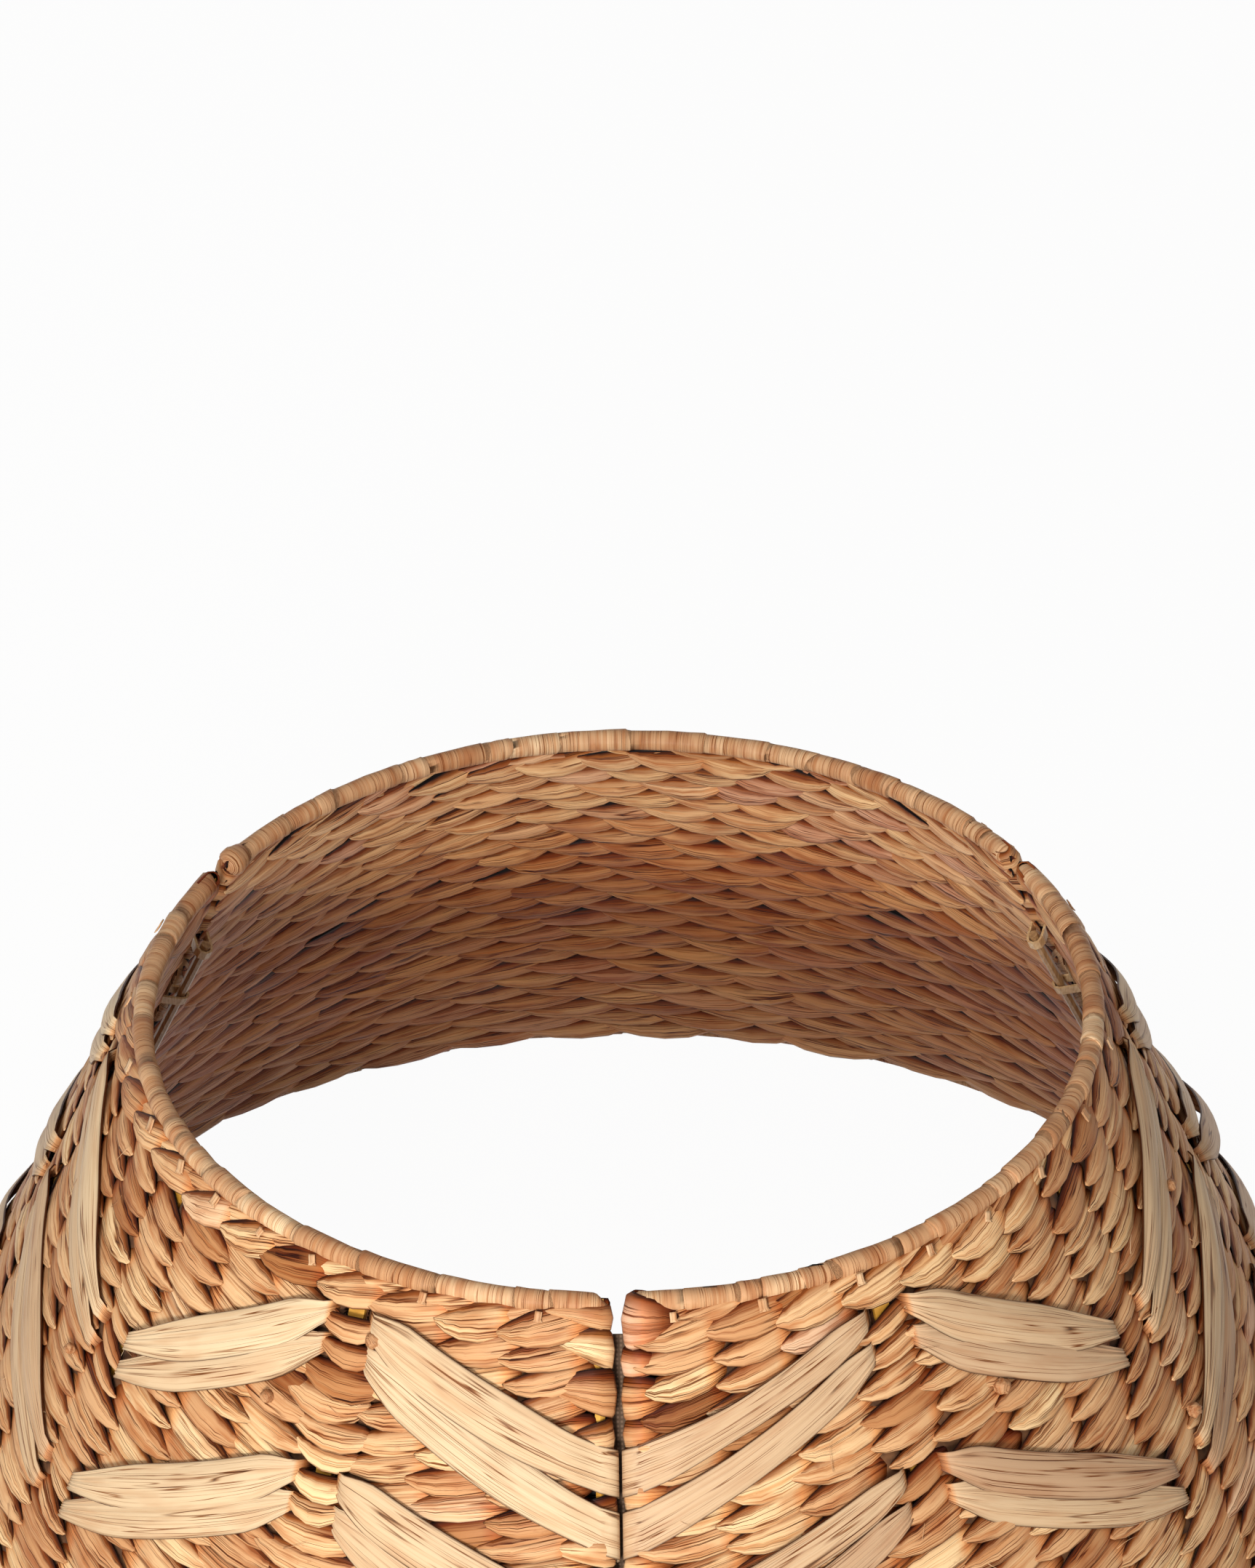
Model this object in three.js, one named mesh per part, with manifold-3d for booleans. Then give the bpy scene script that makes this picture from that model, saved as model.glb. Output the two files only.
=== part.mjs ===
// Woven tree skirt: a stiff flared collar of three equal curved panels.
// Each panel is a steel frame with a woven wall, wrapped edges and zigzag leaf straps.
// Millimetres, +Z up, the origin on the floor at the middle of the collar, the front seam towards -Y.
import * as THREE from "three";
import { mergeVertices } from "three/addons/utils/BufferGeometryUtils.js";
import Module from "manifold-3d";

const wasm = await Module();
wasm.setup();

// Overall form of the collar, measured on the centre lines of the rim and base rods
const RIM_RADIUS = 215;
const BASE_RADIUS = 343;
const RISE = 266;
const PANELS = 3;
const SEAM_GAP = 4.8;

// Steel frame
const ROD_RADIUS = 2.5;
const ROD_SIDES = 6;
const BAR_WIDTH = 7.5;
const BAR_THICKNESS = 2;
const COLUMNS = 4;
const FACETS_PER_COLUMN = 3;

// Woven wall, its round ends and the wrapping on the rods
const WALL_THICKNESS = 11;
const ROWS = 24;
const ROW_GROOVE_DEPTH = 2.4;
const ROW_CREST_SHARE = 0.6;
const END_RADIUS = 6;
const ROUND_SIDES = 8;
const END_TOP_OVERHANG = 4.2;
const END_FOOT_CLEARANCE = 0.5;
const WRAP_THICKNESS = 1.4;
const WRAP_FLATS = 8;
const WRAP_MOUTH = 90;

// Leaf straps: pairs of flat leaves in zigzag, tucked behind the frame's bars
const STRAP_PAIRS = 3;
const FIRST_PEAK_ROW = 1.6;
const LEAF_STEP_ROWS = 1.2;
const ROWS_PER_PAIR = 6;
const STRAP_DROP_ROWS = 6.1;
const UPPER_SEAM_DROP_ROWS = 4.2;
const LOWER_SEAM_DROP_ROWS = 5.2;
const STRAP_THICKNESS = 1.2;
const STRAP_WIDTH = 22;
const STRAP_END_WIDTH = 18;
const STRAP_NECK = 8;
const STRAP_SHOULDER = 11.5;
const TUCK_RUN = 7.5;
const WRAP_TURNS = [120, 60, 0];
const WRAP_TURN_ROOM = 8;
const WRAP_RUN = 7;

// Hinges: a rod on the inner side of each back seam, held to the end stakes by flat loops
const HINGE_ROD_RADIUS = 2.3;
const HINGE_SETBACK = 10;
const HINGE_ROD_PROUD = 2;
const LOOP_THICKNESS = 1.2;
const LOOP_HEIGHT = 4.8;
const LOOP_SLACK = 0.5;
const LOOP_ROOM = 1;
const LOOP_BEND_STEPS = 4;
const BACK_LOOP_TOP_ROW = 4;
const BACK_LOOP_FOOT_ROW = 22;

// Closing tape behind the front seam
const TAPE_THICKNESS = 1.2;
const TAPE_WIDTH = 15;
const TAPE_OVERLAP = 1.5;
const TAPE_TOP = 10;
const TAPE_FOOT = 12;

// Gap that neighbouring pieces keep
const CLEARANCE = 0.3;

// Vertices nearer than this are one vertex
const MERGE_DISTANCE = 1e-4;

// Sizes that follow
const SLANT = Math.hypot(BASE_RADIUS - RIM_RADIUS, RISE);
const FLARE = (BASE_RADIUS - RIM_RADIUS) / SLANT;
const STEEP = RISE / SLANT;
const WRAP_RADIUS = ROD_RADIUS + CLEARANCE + WRAP_THICKNESS;
const RIM_Z = WRAP_RADIUS + RISE;
const PANEL_ANGLE = (2 * Math.PI) / PANELS;
const COLUMN_ANGLE = PANEL_ANGLE / COLUMNS;
const STAKE_OFFSET = SEAM_GAP / 2 + END_RADIUS;
const ROW_PITCH = SLANT / ROWS;
const WALL_HALF = WALL_THICKNESS / 2;
const WALL_TOP = WRAP_RADIUS + CLEARANCE;
const WALL_FOOT = SLANT - WRAP_RADIUS - CLEARANCE;

const COLOURS = {
  steel: { color: 0xc79a2e, roughness: 0.45, metalness: 0.6 },
  weave: { color: 0xb98a5a, roughness: 0.8, metalness: 0 },
  wrap: { color: 0xc39a6b, roughness: 0.7, metalness: 0 },
  leaf: { color: 0xd8b27c, roughness: 0.65, metalness: 0 },
  cane: { color: 0xe2cda0, roughness: 0.4, metalness: 0 },
  tape: { color: 0x54443a, roughness: 0.95, metalness: 0 },
};
const materials = Object.fromEntries(
  Object.entries(COLOURS).map(([name, look]) => [name, new THREE.MeshStandardMaterial(look)]),
);

// A point of the cone: down is the way along the slope from the rim rod, out the distance off the
// middle surface, azimuth the angle from the panel's first seam.
function onCone(down, out, azimuth) {
  const radius = RIM_RADIUS + down * FLARE + out * STEEP;
  const height = RIM_Z - down * STEEP + out * FLARE;
  return new THREE.Vector3(radius * Math.sin(azimuth), -radius * Math.cos(azimuth), height);
}

// Distance of such a point from the collar's axis
function coneRadius(down, out) {
  return RIM_RADIUS + down * FLARE + out * STEEP;
}

// The azimuth that lies a given distance to the side of the panel's first seam
function azimuthBeside(offset, down, out) {
  return Math.asin(offset / coneRadius(down, out));
}

// A station is { place(down, out, side) -> azimuth, section: [[down, out, side], ...] }.
// The loft joins equal sections round the collar and caps both ends. side may be left out.
// A section that is curled round a panel's end also gives itself laid flat, which its cap is cut from.
function loft(stations) {
  const count = stations[0].section.length;
  const positions = [];
  for (const { place, section } of stations) {
    for (const [down, out, side = 0] of section) {
      positions.push(...onCone(down, out, place(down, out, side)));
    }
  }
  const index = [];
  for (let ring = 0; ring + 1 < stations.length; ring += 1) {
    for (let i = 0; i < count; i += 1) {
      const a = ring * count + i;
      const b = ring * count + ((i + 1) % count);
      index.push(a, b + count, b, a, a + count, b + count);
    }
  }
  const cap = (ring, reversed) => {
    const laidFlat = stations[ring].flat ?? stations[ring].section;
    const outline = laidFlat.map(([x, y]) => new THREE.Vector2(x, y));
    for (const [a, b, c] of THREE.ShapeUtils.triangulateShape(outline, [])) {
      const corners = reversed ? [c, b, a] : [a, b, c];
      index.push(...corners.map((corner) => ring * count + corner));
    }
  };
  cap(0, false);
  cap(stations.length - 1, true);
  const geometry = new THREE.BufferGeometry();
  geometry.setAttribute("position", new THREE.Float32BufferAttribute(positions, 3));
  geometry.setIndex(index);
  return geometry;
}

// Places for stations: beside the first seam, beside the last seam, and beside an angle between.
// side counts away from the nearest seam, or onwards from the angle.
const besideFirst = (offset) => (down, out, side = 0) => azimuthBeside(offset + side, down, out);
const besideLast = (offset) => (down, out, side = 0) =>
  PANEL_ANGLE - azimuthBeside(offset + side, down, out);
const atAngle = (azimuth, offset = 0) => (down, out, side = 0) =>
  azimuth + azimuthBeside(offset + side, down, out);

// One section carried from near one seam to near the other
function sweepPanel(section, endOffset) {
  const steps = COLUMNS * FACETS_PER_COLUMN;
  const stations = [{ place: besideFirst(endOffset), section }];
  for (let i = 1; i < steps; i += 1) {
    stations.push({ place: atAngle((PANEL_ANGLE * i) / steps), section });
  }
  stations.push({ place: besideLast(endOffset), section });
  return loft(stations);
}

function solidOf(geometry) {
  const bare = geometry.index ? geometry.toNonIndexed() : geometry.clone();
  bare.deleteAttribute("normal");
  bare.deleteAttribute("uv");
  const merged = mergeVertices(bare, MERGE_DISTANCE);
  return new wasm.Manifold(
    new wasm.Mesh({
      numProp: 3,
      vertProperties: merged.attributes.position.array,
      triVerts: new Uint32Array(merged.index.array),
    }),
  );
}

function geometryOf(solid) {
  const mesh = solid.getMesh();
  const geometry = new THREE.BufferGeometry();
  geometry.setAttribute("position", new THREE.BufferAttribute(mesh.vertProperties, 3));
  geometry.setIndex(new THREE.BufferAttribute(mesh.triVerts, 1));
  return geometry.toNonIndexed();
}

function joined(parts) {
  return parts.reduce((whole, part) => whole.add(part));
}

// Axes that stand on the cone: X along the rim, Y outwards, Z down the slope
function frameOnCone(down, azimuth, side = 0) {
  const along = new THREE.Vector3(Math.cos(azimuth), Math.sin(azimuth), 0);
  const origin = onCone(down, 0, azimuth);
  const outward = onCone(down, 1, azimuth).sub(origin);
  const downslope = onCone(down + 1, 0, azimuth).sub(origin);
  const matrix = new THREE.Matrix4().makeBasis(along, outward, downslope);
  return matrix.setPosition(origin.addScaledVector(along, side));
}

// A straight piece down the slope: its outline lies across the slope
function downSlope(outline, azimuth, side, fromDown, toDown, hole) {
  const shape = new THREE.Shape(outline);
  if (hole) {
    shape.holes.push(new THREE.Path(hole));
  }
  const geometry = new THREE.ExtrudeGeometry(shape, { depth: toDown - fromDown, bevelEnabled: false });
  return geometry.applyMatrix4(frameOnCone(fromDown, azimuth, side));
}

function polygon(radius, sides, x = 0, y = 0, phase = 0.5) {
  const points = [];
  for (let i = 0; i < sides; i += 1) {
    const angle = (2 * Math.PI * (i + phase)) / sides;
    points.push(new THREE.Vector2(x + radius * Math.cos(angle), y + radius * Math.sin(angle)));
  }
  return points;
}

function rectangle(width, depth, x = 0, y = 0) {
  return [
    new THREE.Vector2(x - width / 2, y - depth / 2),
    new THREE.Vector2(x + width / 2, y - depth / 2),
    new THREE.Vector2(x + width / 2, y + depth / 2),
    new THREE.Vector2(x - width / 2, y + depth / 2),
  ];
}

// The bars stand between the columns of straps
const barAzimuths = Array.from({ length: COLUMNS - 1 }, (_, i) => COLUMN_ANGLE * (i + 1));

// Steel frame: two curved rods, an end stake at each seam and flat bars between.
// With extra, the same frame grown by a clearance.
function frameSolid(extra = 0) {
  const radius = ROD_RADIUS + extra;
  const rod = (down) => {
    const section = polygon(radius, ROD_SIDES, down, 0).map(({ x, y }) => [x, y]);
    return solidOf(sweepPanel(section, STAKE_OFFSET - radius * Math.cos(Math.PI / ROD_SIDES)));
  };
  const stakes = [
    [0, STAKE_OFFSET],
    [PANEL_ANGLE, -STAKE_OFFSET],
  ].map(([azimuth, side]) =>
    solidOf(downSlope(polygon(radius, ROD_SIDES), azimuth, side, -radius / 2, SLANT + radius / 2)),
  );
  const bars = barAzimuths.map((azimuth) =>
    solidOf(downSlope(rectangle(BAR_WIDTH + 2 * extra, BAR_THICKNESS + 2 * extra), azimuth, 0, 0, SLANT)),
  );
  return joined([rod(0), rod(SLANT), ...stakes, ...bars]);
}

// Wrapping on a rod: an open sleeve whose mouth lets the frame's uprights through.
// Its outside is an octagon with a flat on top and a flat underneath, which stands on the floor.
function wrapSection(rodDown, mouthDirection) {
  const outerRadius = WRAP_RADIUS / Math.cos(Math.PI / WRAP_FLATS);
  const innerRadius = (ROD_RADIUS + CLEARANCE) / Math.cos(Math.PI / WRAP_FLATS);
  const lean = Math.atan2(FLARE, STEEP);
  const half = (WRAP_MOUTH * Math.PI) / 360;
  const step = (2 * Math.PI) / WRAP_FLATS;
  const start = mouthDirection + half;
  const end = mouthDirection - half + 2 * Math.PI;
  // Corners of the octagon, counted so that a flat faces straight down
  const offset = -lean - step / 2;
  const corners = [];
  // A corner that all but meets an edge of the mouth is left out
  const least = 0.1;
  const firstCorner = Math.ceil((start - offset) / step + least);
  for (let k = firstCorner; offset + k * step < end - least * step; k += 1) {
    corners.push(offset + k * step);
  }
  const point = (radius, angle) => [rodDown + radius * Math.cos(angle), radius * Math.sin(angle)];
  const angles = [start, ...corners, end];
  return [
    ...angles.map((angle) => point(outerRadius, angle)),
    ...angles.reverse().map((angle) => point(innerRadius, angle)),
  ];
}

// Pairs of straps, each strap with the slope distances of its peak, its valley and its end at a seam
function strapPairs() {
  return Array.from({ length: STRAP_PAIRS }, (_, pair) =>
    [UPPER_SEAM_DROP_ROWS, LOWER_SEAM_DROP_ROWS].map((seamDrop, leaf) => {
      const peak = (FIRST_PEAK_ROW + pair * ROWS_PER_PAIR + leaf * LEAF_STEP_ROWS) * ROW_PITCH;
      return {
        name: `strap_${pair + 1}_${leaf ? "lower" : "upper"}`,
        over: leaf === 0,
        peak,
        valley: peak + STRAP_DROP_ROWS * ROW_PITCH,
        seam: peak + seamDrop * ROW_PITCH,
      };
    }),
  );
}

// Depths off the middle surface: a strap lies on the wall, an upper strap over its lower neighbour,
// and both go behind the bars where they tuck in
const STRAP_OUT = WALL_HALF + CLEARANCE + STRAP_THICKNESS / 2;
const STRAP_OVER = STRAP_OUT + STRAP_THICKNESS + CLEARANCE;
const STRAP_BEHIND = -(BAR_THICKNESS / 2 + CLEARANCE + STRAP_THICKNESS / 2);
const TUCK_FLOOR = STRAP_BEHIND - STRAP_THICKNESS / 2 - CLEARANCE;
const TUCK_INNER = BAR_WIDTH / 2 + CLEARANCE + STRAP_THICKNESS / 4;
const TUCK_OUTER = TUCK_INNER + TUCK_RUN;

function strapSection(down, out, width) {
  const half = STRAP_THICKNESS / 2;
  return [
    [down - width / 2, out - half],
    [down + width / 2, out - half],
    [down + width / 2, out + half],
    [down - width / 2, out + half],
  ];
}

// A point round a panel's end, as [out, side]: turn is counted in degrees from the outer side
function roundEnd(radius, turn) {
  const angle = THREE.MathUtils.degToRad(turn);
  return [radius * Math.cos(angle), -radius * Math.sin(angle)];
}

// A strap's section part of the way round a panel's end, where it lies flush with the weave
function wrappedSection(down, turn, width) {
  const middle = END_RADIUS - STRAP_THICKNESS / 2;
  return strapSection(down, middle, width).map(([at, radius]) => [at, ...roundEnd(radius, turn)]);
}

// How wide a strap is at a share of its run: a leaf, widest in the middle, from one end to the other
function leafWidth(share, from, to) {
  const ends = THREE.MathUtils.lerp(from, to, share);
  return ends + (STRAP_WIDTH - ends) * Math.sin(Math.PI * share);
}

function strapGeometry({ peak, valley, seam, over }) {
  const level = over ? STRAP_OVER : STRAP_OUT;
  const downAt = (column) => {
    if (column === 0 || column === COLUMNS) {
      return seam;
    }
    return column % 2 ? peak : valley;
  };
  const widthAt = (column) => (column === 0 || column === COLUMNS ? STRAP_END_WIDTH : STRAP_SHOULDER);
  const stations = [];
  const add = (place, section) => stations.push({ place, section });
  const ending = (place) => [
    ...WRAP_TURNS.map((turn) => ({
      place: place(STAKE_OFFSET),
      section: wrappedSection(seam, turn, STRAP_END_WIDTH),
      flat: strapSection(seam, 0, STRAP_END_WIDTH),
    })),
    {
      place: place(STAKE_OFFSET + WRAP_RUN),
      section: strapSection(seam, STRAP_OUT, STRAP_END_WIDTH),
    },
  ];
  for (let column = 0; column <= COLUMNS; column += 1) {
    const azimuth = column * COLUMN_ANGLE;
    const down = downAt(column);
    if (column === 0) {
      stations.push(...ending(besideFirst));
    } else if (column === COLUMNS) {
      stations.push(...ending(besideLast).toReversed());
    } else {
      const shoulder = strapSection(down, level, STRAP_SHOULDER);
      const neck = strapSection(down, STRAP_BEHIND, STRAP_NECK);
      add(atAngle(azimuth, -TUCK_OUTER), shoulder);
      add(atAngle(azimuth, -TUCK_INNER), neck);
      add(atAngle(azimuth, TUCK_INNER), neck);
      add(atAngle(azimuth, TUCK_OUTER), shoulder);
    }
    if (column < COLUMNS) {
      for (let i = 1; i < FACETS_PER_COLUMN; i += 1) {
        const share = i / FACETS_PER_COLUMN;
        const there = THREE.MathUtils.lerp(down, downAt(column + 1), share);
        const width = leafWidth(share, widthAt(column), widthAt(column + 1));
        add(atAngle(azimuth + share * COLUMN_ANGLE), strapSection(there, level, width));
      }
    }
  }
  return loft(stations);
}

// The pocket in the wall at each bar where a pair of straps goes in behind it
function tuckSolids([upper, lower]) {
  const deep = WALL_HALF + 2 * CLEARANCE;
  const width = 2 * (TUCK_OUTER + CLEARANCE);
  const half = STRAP_SHOULDER / 2 + CLEARANCE;
  const outline = rectangle(width, deep - TUCK_FLOOR, 0, (deep + TUCK_FLOOR) / 2);
  return barAzimuths.map((azimuth, i) => {
    const level = i % 2 ? "valley" : "peak";
    return solidOf(downSlope(outline, azimuth, 0, upper[level] - half, lower[level] + half));
  });
}

// The groove round a panel's end that holds a pair of straps.
// sense is 1 at the first seam, -1 at the last.
function grooveSolid([upper, lower], sense) {
  const floor = END_RADIUS - STRAP_THICKNESS - CLEARANCE;
  const open = END_RADIUS + 2 * CLEARANCE;
  const half = STRAP_END_WIDTH / 2 + CLEARANCE;
  const furthest = WRAP_TURNS[0] + WRAP_TURN_ROOM;
  const turns = [furthest, ...WRAP_TURNS];
  const outline = [
    ...turns.map((turn) => roundEnd(floor, turn)),
    [WALL_HALF, WRAP_RUN],
    [open, WRAP_RUN],
    ...turns.toReversed().map((turn) => roundEnd(open, turn)),
  ].map(([out, side]) => new THREE.Vector2(sense * (STAKE_OFFSET + side), out));
  const azimuth = sense > 0 ? 0 : PANEL_ANGLE;
  return solidOf(downSlope(outline, azimuth, 0, upper.seam - half, lower.seam + half));
}

// A flat loop round the hinge rod and an end stake. sense is 1 at a panel's first seam, -1 at its last.
function loopOutline(radius, sense) {
  const rod = new THREE.Vector2(0, -HINGE_SETBACK);
  const stake = new THREE.Vector2(sense * STAKE_OFFSET, 0);
  const lean = Math.atan2(stake.y - rod.y, stake.x - rod.x);
  const points = [];
  for (const [centre, turn] of [
    [stake, 0],
    [rod, Math.PI],
  ]) {
    for (let i = 0; i <= LOOP_BEND_STEPS; i += 1) {
      const angle = lean + turn + Math.PI * (i / LOOP_BEND_STEPS - 0.5);
      points.push(
        new THREE.Vector2(centre.x + radius * Math.cos(angle), centre.y + radius * Math.sin(angle)),
      );
    }
  }
  return points;
}

const LOOP_INNER_RADIUS = Math.max(ROD_RADIUS, HINGE_ROD_RADIUS) + LOOP_SLACK;
const LOOP_OUTER_RADIUS = LOOP_INNER_RADIUS + LOOP_THICKNESS;

function loopGeometry(middleDown, sense) {
  return downSlope(
    loopOutline(LOOP_OUTER_RADIUS, sense),
    sense > 0 ? 0 : PANEL_ANGLE,
    0,
    middleDown - LOOP_HEIGHT / 2,
    middleDown + LOOP_HEIGHT / 2,
    loopOutline(LOOP_INNER_RADIUS, sense),
  );
}

// The notch in a panel's end that a loop goes round the stake in
function notchSolid(middleDown, sense) {
  const half = LOOP_HEIGHT / 2 + CLEARANCE;
  const outline = loopOutline(LOOP_OUTER_RADIUS + LOOP_ROOM, sense);
  const azimuth = sense > 0 ? 0 : PANEL_ANGLE;
  return solidOf(downSlope(outline, azimuth, 0, middleDown - half, middleDown + half));
}

// Between the two straps of a pair, where they end at a seam
function betweenStraps([upper, lower]) {
  return (upper.seam + lower.seam) / 2;
}

// Slope distances of the loops. The side panels' loops sit between those of the back panel on the rod.
const loopPlaces = {
  back: [BACK_LOOP_TOP_ROW * ROW_PITCH, BACK_LOOP_FOOT_ROW * ROW_PITCH],
  side: [betweenStraps(strapPairs().at(0)), betweenStraps(strapPairs().at(-1))],
};

// The wall's section. On the outer face each woven row swells to a crest, with a groove between rows.
function wallSection() {
  const height = (WALL_FOOT - WALL_TOP) / ROWS;
  const outside = [];
  for (let row = 0; row < ROWS; row += 1) {
    const top = WALL_TOP + row * height;
    outside.push([top, WALL_HALF - ROW_GROOVE_DEPTH], [top + ROW_CREST_SHARE * height, WALL_HALF]);
  }
  outside.push([WALL_FOOT, WALL_HALF - ROW_GROOVE_DEPTH]);
  return [[WALL_TOP, -WALL_HALF], [WALL_FOOT, -WALL_HALF], ...outside.toReversed()];
}

// Woven wall: a slice of cone with a round end at each seam, pierced by the frame,
// the straps' pockets and the loops it holds.
function wallSolid(loops) {
  const ends = [
    [0, STAKE_OFFSET],
    [PANEL_ANGLE, -STAKE_OFFSET],
  ].map(([azimuth, side]) =>
    solidOf(
      downSlope(
        polygon(END_RADIUS, ROUND_SIDES, 0, 0, 0),
        azimuth,
        side,
        -END_TOP_OVERHANG,
        SLANT - END_FOOT_CLEARANCE,
      ),
    ),
  );
  const body = joined([solidOf(sweepPanel(wallSection(), STAKE_OFFSET)), ...ends]);
  const cuts = [
    frameSolid(CLEARANCE),
    ...strapPairs().flatMap(tuckSolids),
    ...strapPairs().flatMap((pair) => [grooveSolid(pair, 1), grooveSolid(pair, -1)]),
    ...loops.map(([down, sense]) => notchSolid(down, sense)),
  ];
  return cuts.reduce((rest, cut) => rest.subtract(cut), body);
}

function mesh(name, geometry, material) {
  const made = new THREE.Mesh(geometry, materials[material]);
  made.name = name;
  geometry.computeVertexNormals();
  return made;
}

// One panel, from its first seam to its last. loops lists [slope distance, sense] of each loop.
function panel(name, loops) {
  const group = new THREE.Group();
  const wrapEnd = STAKE_OFFSET + END_RADIUS + CLEARANCE;
  group.add(mesh(`${name}_frame`, geometryOf(frameSolid()), "steel"));
  group.add(mesh(`${name}_woven_wall`, geometryOf(wallSolid(loops)), "weave"));
  group.add(mesh(`${name}_rim_wrap`, sweepPanel(wrapSection(0, 0), wrapEnd), "wrap"));
  group.add(mesh(`${name}_base_wrap`, sweepPanel(wrapSection(SLANT, Math.PI), wrapEnd), "wrap"));
  for (const strap of strapPairs().flat()) {
    group.add(mesh(`${name}_${strap.name}`, strapGeometry(strap), "leaf"));
  }
  loops.forEach(([down, sense], i) => {
    const side = sense > 0 ? "first" : "last";
    const level = i % 2 ? "lower" : "upper";
    group.add(mesh(`${name}_${side}_${level}_loop`, loopGeometry(down, sense), "cane"));
  });
  return group;
}

// The rod stands a little out of the back panel's loops
function hingeRod(name) {
  const outline = polygon(HINGE_ROD_RADIUS, ROUND_SIDES, 0, -HINGE_SETBACK);
  const [top, foot] = loopPlaces.back;
  const reach = LOOP_HEIGHT / 2 + HINGE_ROD_PROUD;
  return mesh(name, downSlope(outline, 0, 0, top - reach, foot + reach), "cane");
}

// Tape on the left panel's inner side, reaching a little past the middle of the front seam
function closingTape() {
  const middle = TAPE_OVERLAP - TAPE_WIDTH / 2;
  const depth = -END_RADIUS - CLEARANCE - TAPE_THICKNESS / 2;
  const outline = rectangle(TAPE_WIDTH, TAPE_THICKNESS, middle, depth);
  return mesh("front_closing_tape", downSlope(outline, 0, 0, TAPE_TOP, SLANT - TAPE_FOOT), "tape");
}

// The front seam lies at azimuth 0. The right panel follows it, then the back panel, then the left.
const collar = new THREE.Group();
const loopsAt = (kind, sense) => loopPlaces[kind].map((down) => [down, sense]);
const rightPanel = panel("right", loopsAt("side", -1));
const backPanel = panel("back", [...loopsAt("back", 1), ...loopsAt("back", -1)]);
const leftPanel = panel("left", loopsAt("side", 1));
backPanel.rotation.z = PANEL_ANGLE;
leftPanel.rotation.z = 2 * PANEL_ANGLE;
const rightRod = hingeRod("right_hinge_rod");
const leftRod = hingeRod("left_hinge_rod");
rightRod.rotation.z = PANEL_ANGLE;
leftRod.rotation.z = 2 * PANEL_ANGLE;
collar.add(rightPanel, backPanel, leftPanel, rightRod, leftRod, closingTape());

export default collar;
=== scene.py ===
# %% [markdown]
# # A woven tree skirt
#
# A tree skirt of this kind is a stiff flared collar that stands round the foot of a tree. It is woven
# like a basket: strips of dried leaf are twined in rows round the stakes of a gold painted steel frame.
# Three curved panels make the collar. The frame below is the measured construction, and this lesson
# dresses it: every strip, wrapping and strap is built in place on the same cone.

# %% Load the frame
import math

import bmesh
import bpy
import numpy as np
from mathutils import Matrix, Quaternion, Vector


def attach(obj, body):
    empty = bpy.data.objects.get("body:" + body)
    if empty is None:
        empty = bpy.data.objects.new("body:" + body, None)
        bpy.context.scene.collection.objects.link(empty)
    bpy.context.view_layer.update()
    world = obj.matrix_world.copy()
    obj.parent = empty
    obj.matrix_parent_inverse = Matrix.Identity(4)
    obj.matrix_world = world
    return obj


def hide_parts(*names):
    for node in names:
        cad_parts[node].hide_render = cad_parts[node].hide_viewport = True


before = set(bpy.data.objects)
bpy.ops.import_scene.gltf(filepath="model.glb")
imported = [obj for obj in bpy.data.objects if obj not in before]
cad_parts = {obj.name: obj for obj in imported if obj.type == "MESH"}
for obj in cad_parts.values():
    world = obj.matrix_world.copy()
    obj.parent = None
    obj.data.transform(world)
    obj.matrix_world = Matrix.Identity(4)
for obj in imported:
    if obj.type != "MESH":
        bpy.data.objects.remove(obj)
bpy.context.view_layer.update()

bpy.ops.object.select_all(action="DESELECT")

# %% [markdown]
# ## The camera
#
# The picture was taken from in front and above with a long lens, so the round mouth looks like an
# ellipse. Fitting that ellipse, the far wall and the outline gives the lens, the height and a slight
# roll. The camera aims at the middle of the mouth, and a small shift puts the mouth where it belongs.

# %% Place the camera
IMAGE_WIDTH = 1725
IMAGE_HEIGHT = 2156
FOCAL_PIXELS = 8399
RIM_CENTRE_PIXEL = (849.5, 1380.6)
CAMERA_DISTANCE = 2.768
CAMERA_ELEVATION = math.radians(36.26)
CAMERA_AZIMUTH = math.radians(0.6)
CAMERA_ROLL = math.radians(-1.05)
SENSOR_MM = 36

RIM_CENTRE = Vector((0, 0, 0.2702))
level = math.cos(CAMERA_ELEVATION)
away = Vector((
    math.sin(CAMERA_AZIMUTH) * level,
    -math.cos(CAMERA_AZIMUTH) * level,
    math.sin(CAMERA_ELEVATION),
))
bpy.ops.object.camera_add(location=RIM_CENTRE + CAMERA_DISTANCE * away)
camera = bpy.context.object
camera.data.sensor_width = SENSOR_MM
camera.data.lens = FOCAL_PIXELS * SENSOR_MM / IMAGE_HEIGHT
camera.data.shift_x = (IMAGE_WIDTH / 2 - RIM_CENTRE_PIXEL[0]) / IMAGE_HEIGHT
camera.data.shift_y = (RIM_CENTRE_PIXEL[1] - IMAGE_HEIGHT / 2) / IMAGE_HEIGHT
camera.rotation_mode = "QUATERNION"
aim = (-away).to_track_quat("-Z", "Y")
camera.rotation_quaternion = aim @ Quaternion((0, 0, 1), CAMERA_ROLL)
bpy.context.scene.camera = camera
print(f"camera: {camera.data.lens:.0f} mm lens")

# %% [markdown]
# ## One cone for every piece
#
# Every strip follows the same slanted surface, so a point is given as a craftsperson would: how far
# down the slope from the rim, how far out of the wall, and how far round. One function turns that into
# metres. A panel spans a third of the circle, and a stake stands at each end of it.

# %% Sizes that the pieces share, in millimetres
MM = 0.001
RIM_RADIUS = 215
BASE_RADIUS = 343
RISE = 266
WRAP_RADIUS = 4.2
PANEL_ANGLE = math.radians(120)
COLUMNS = 4
STAKE_OFFSET = 8.4
END_RADIUS = 6

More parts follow.
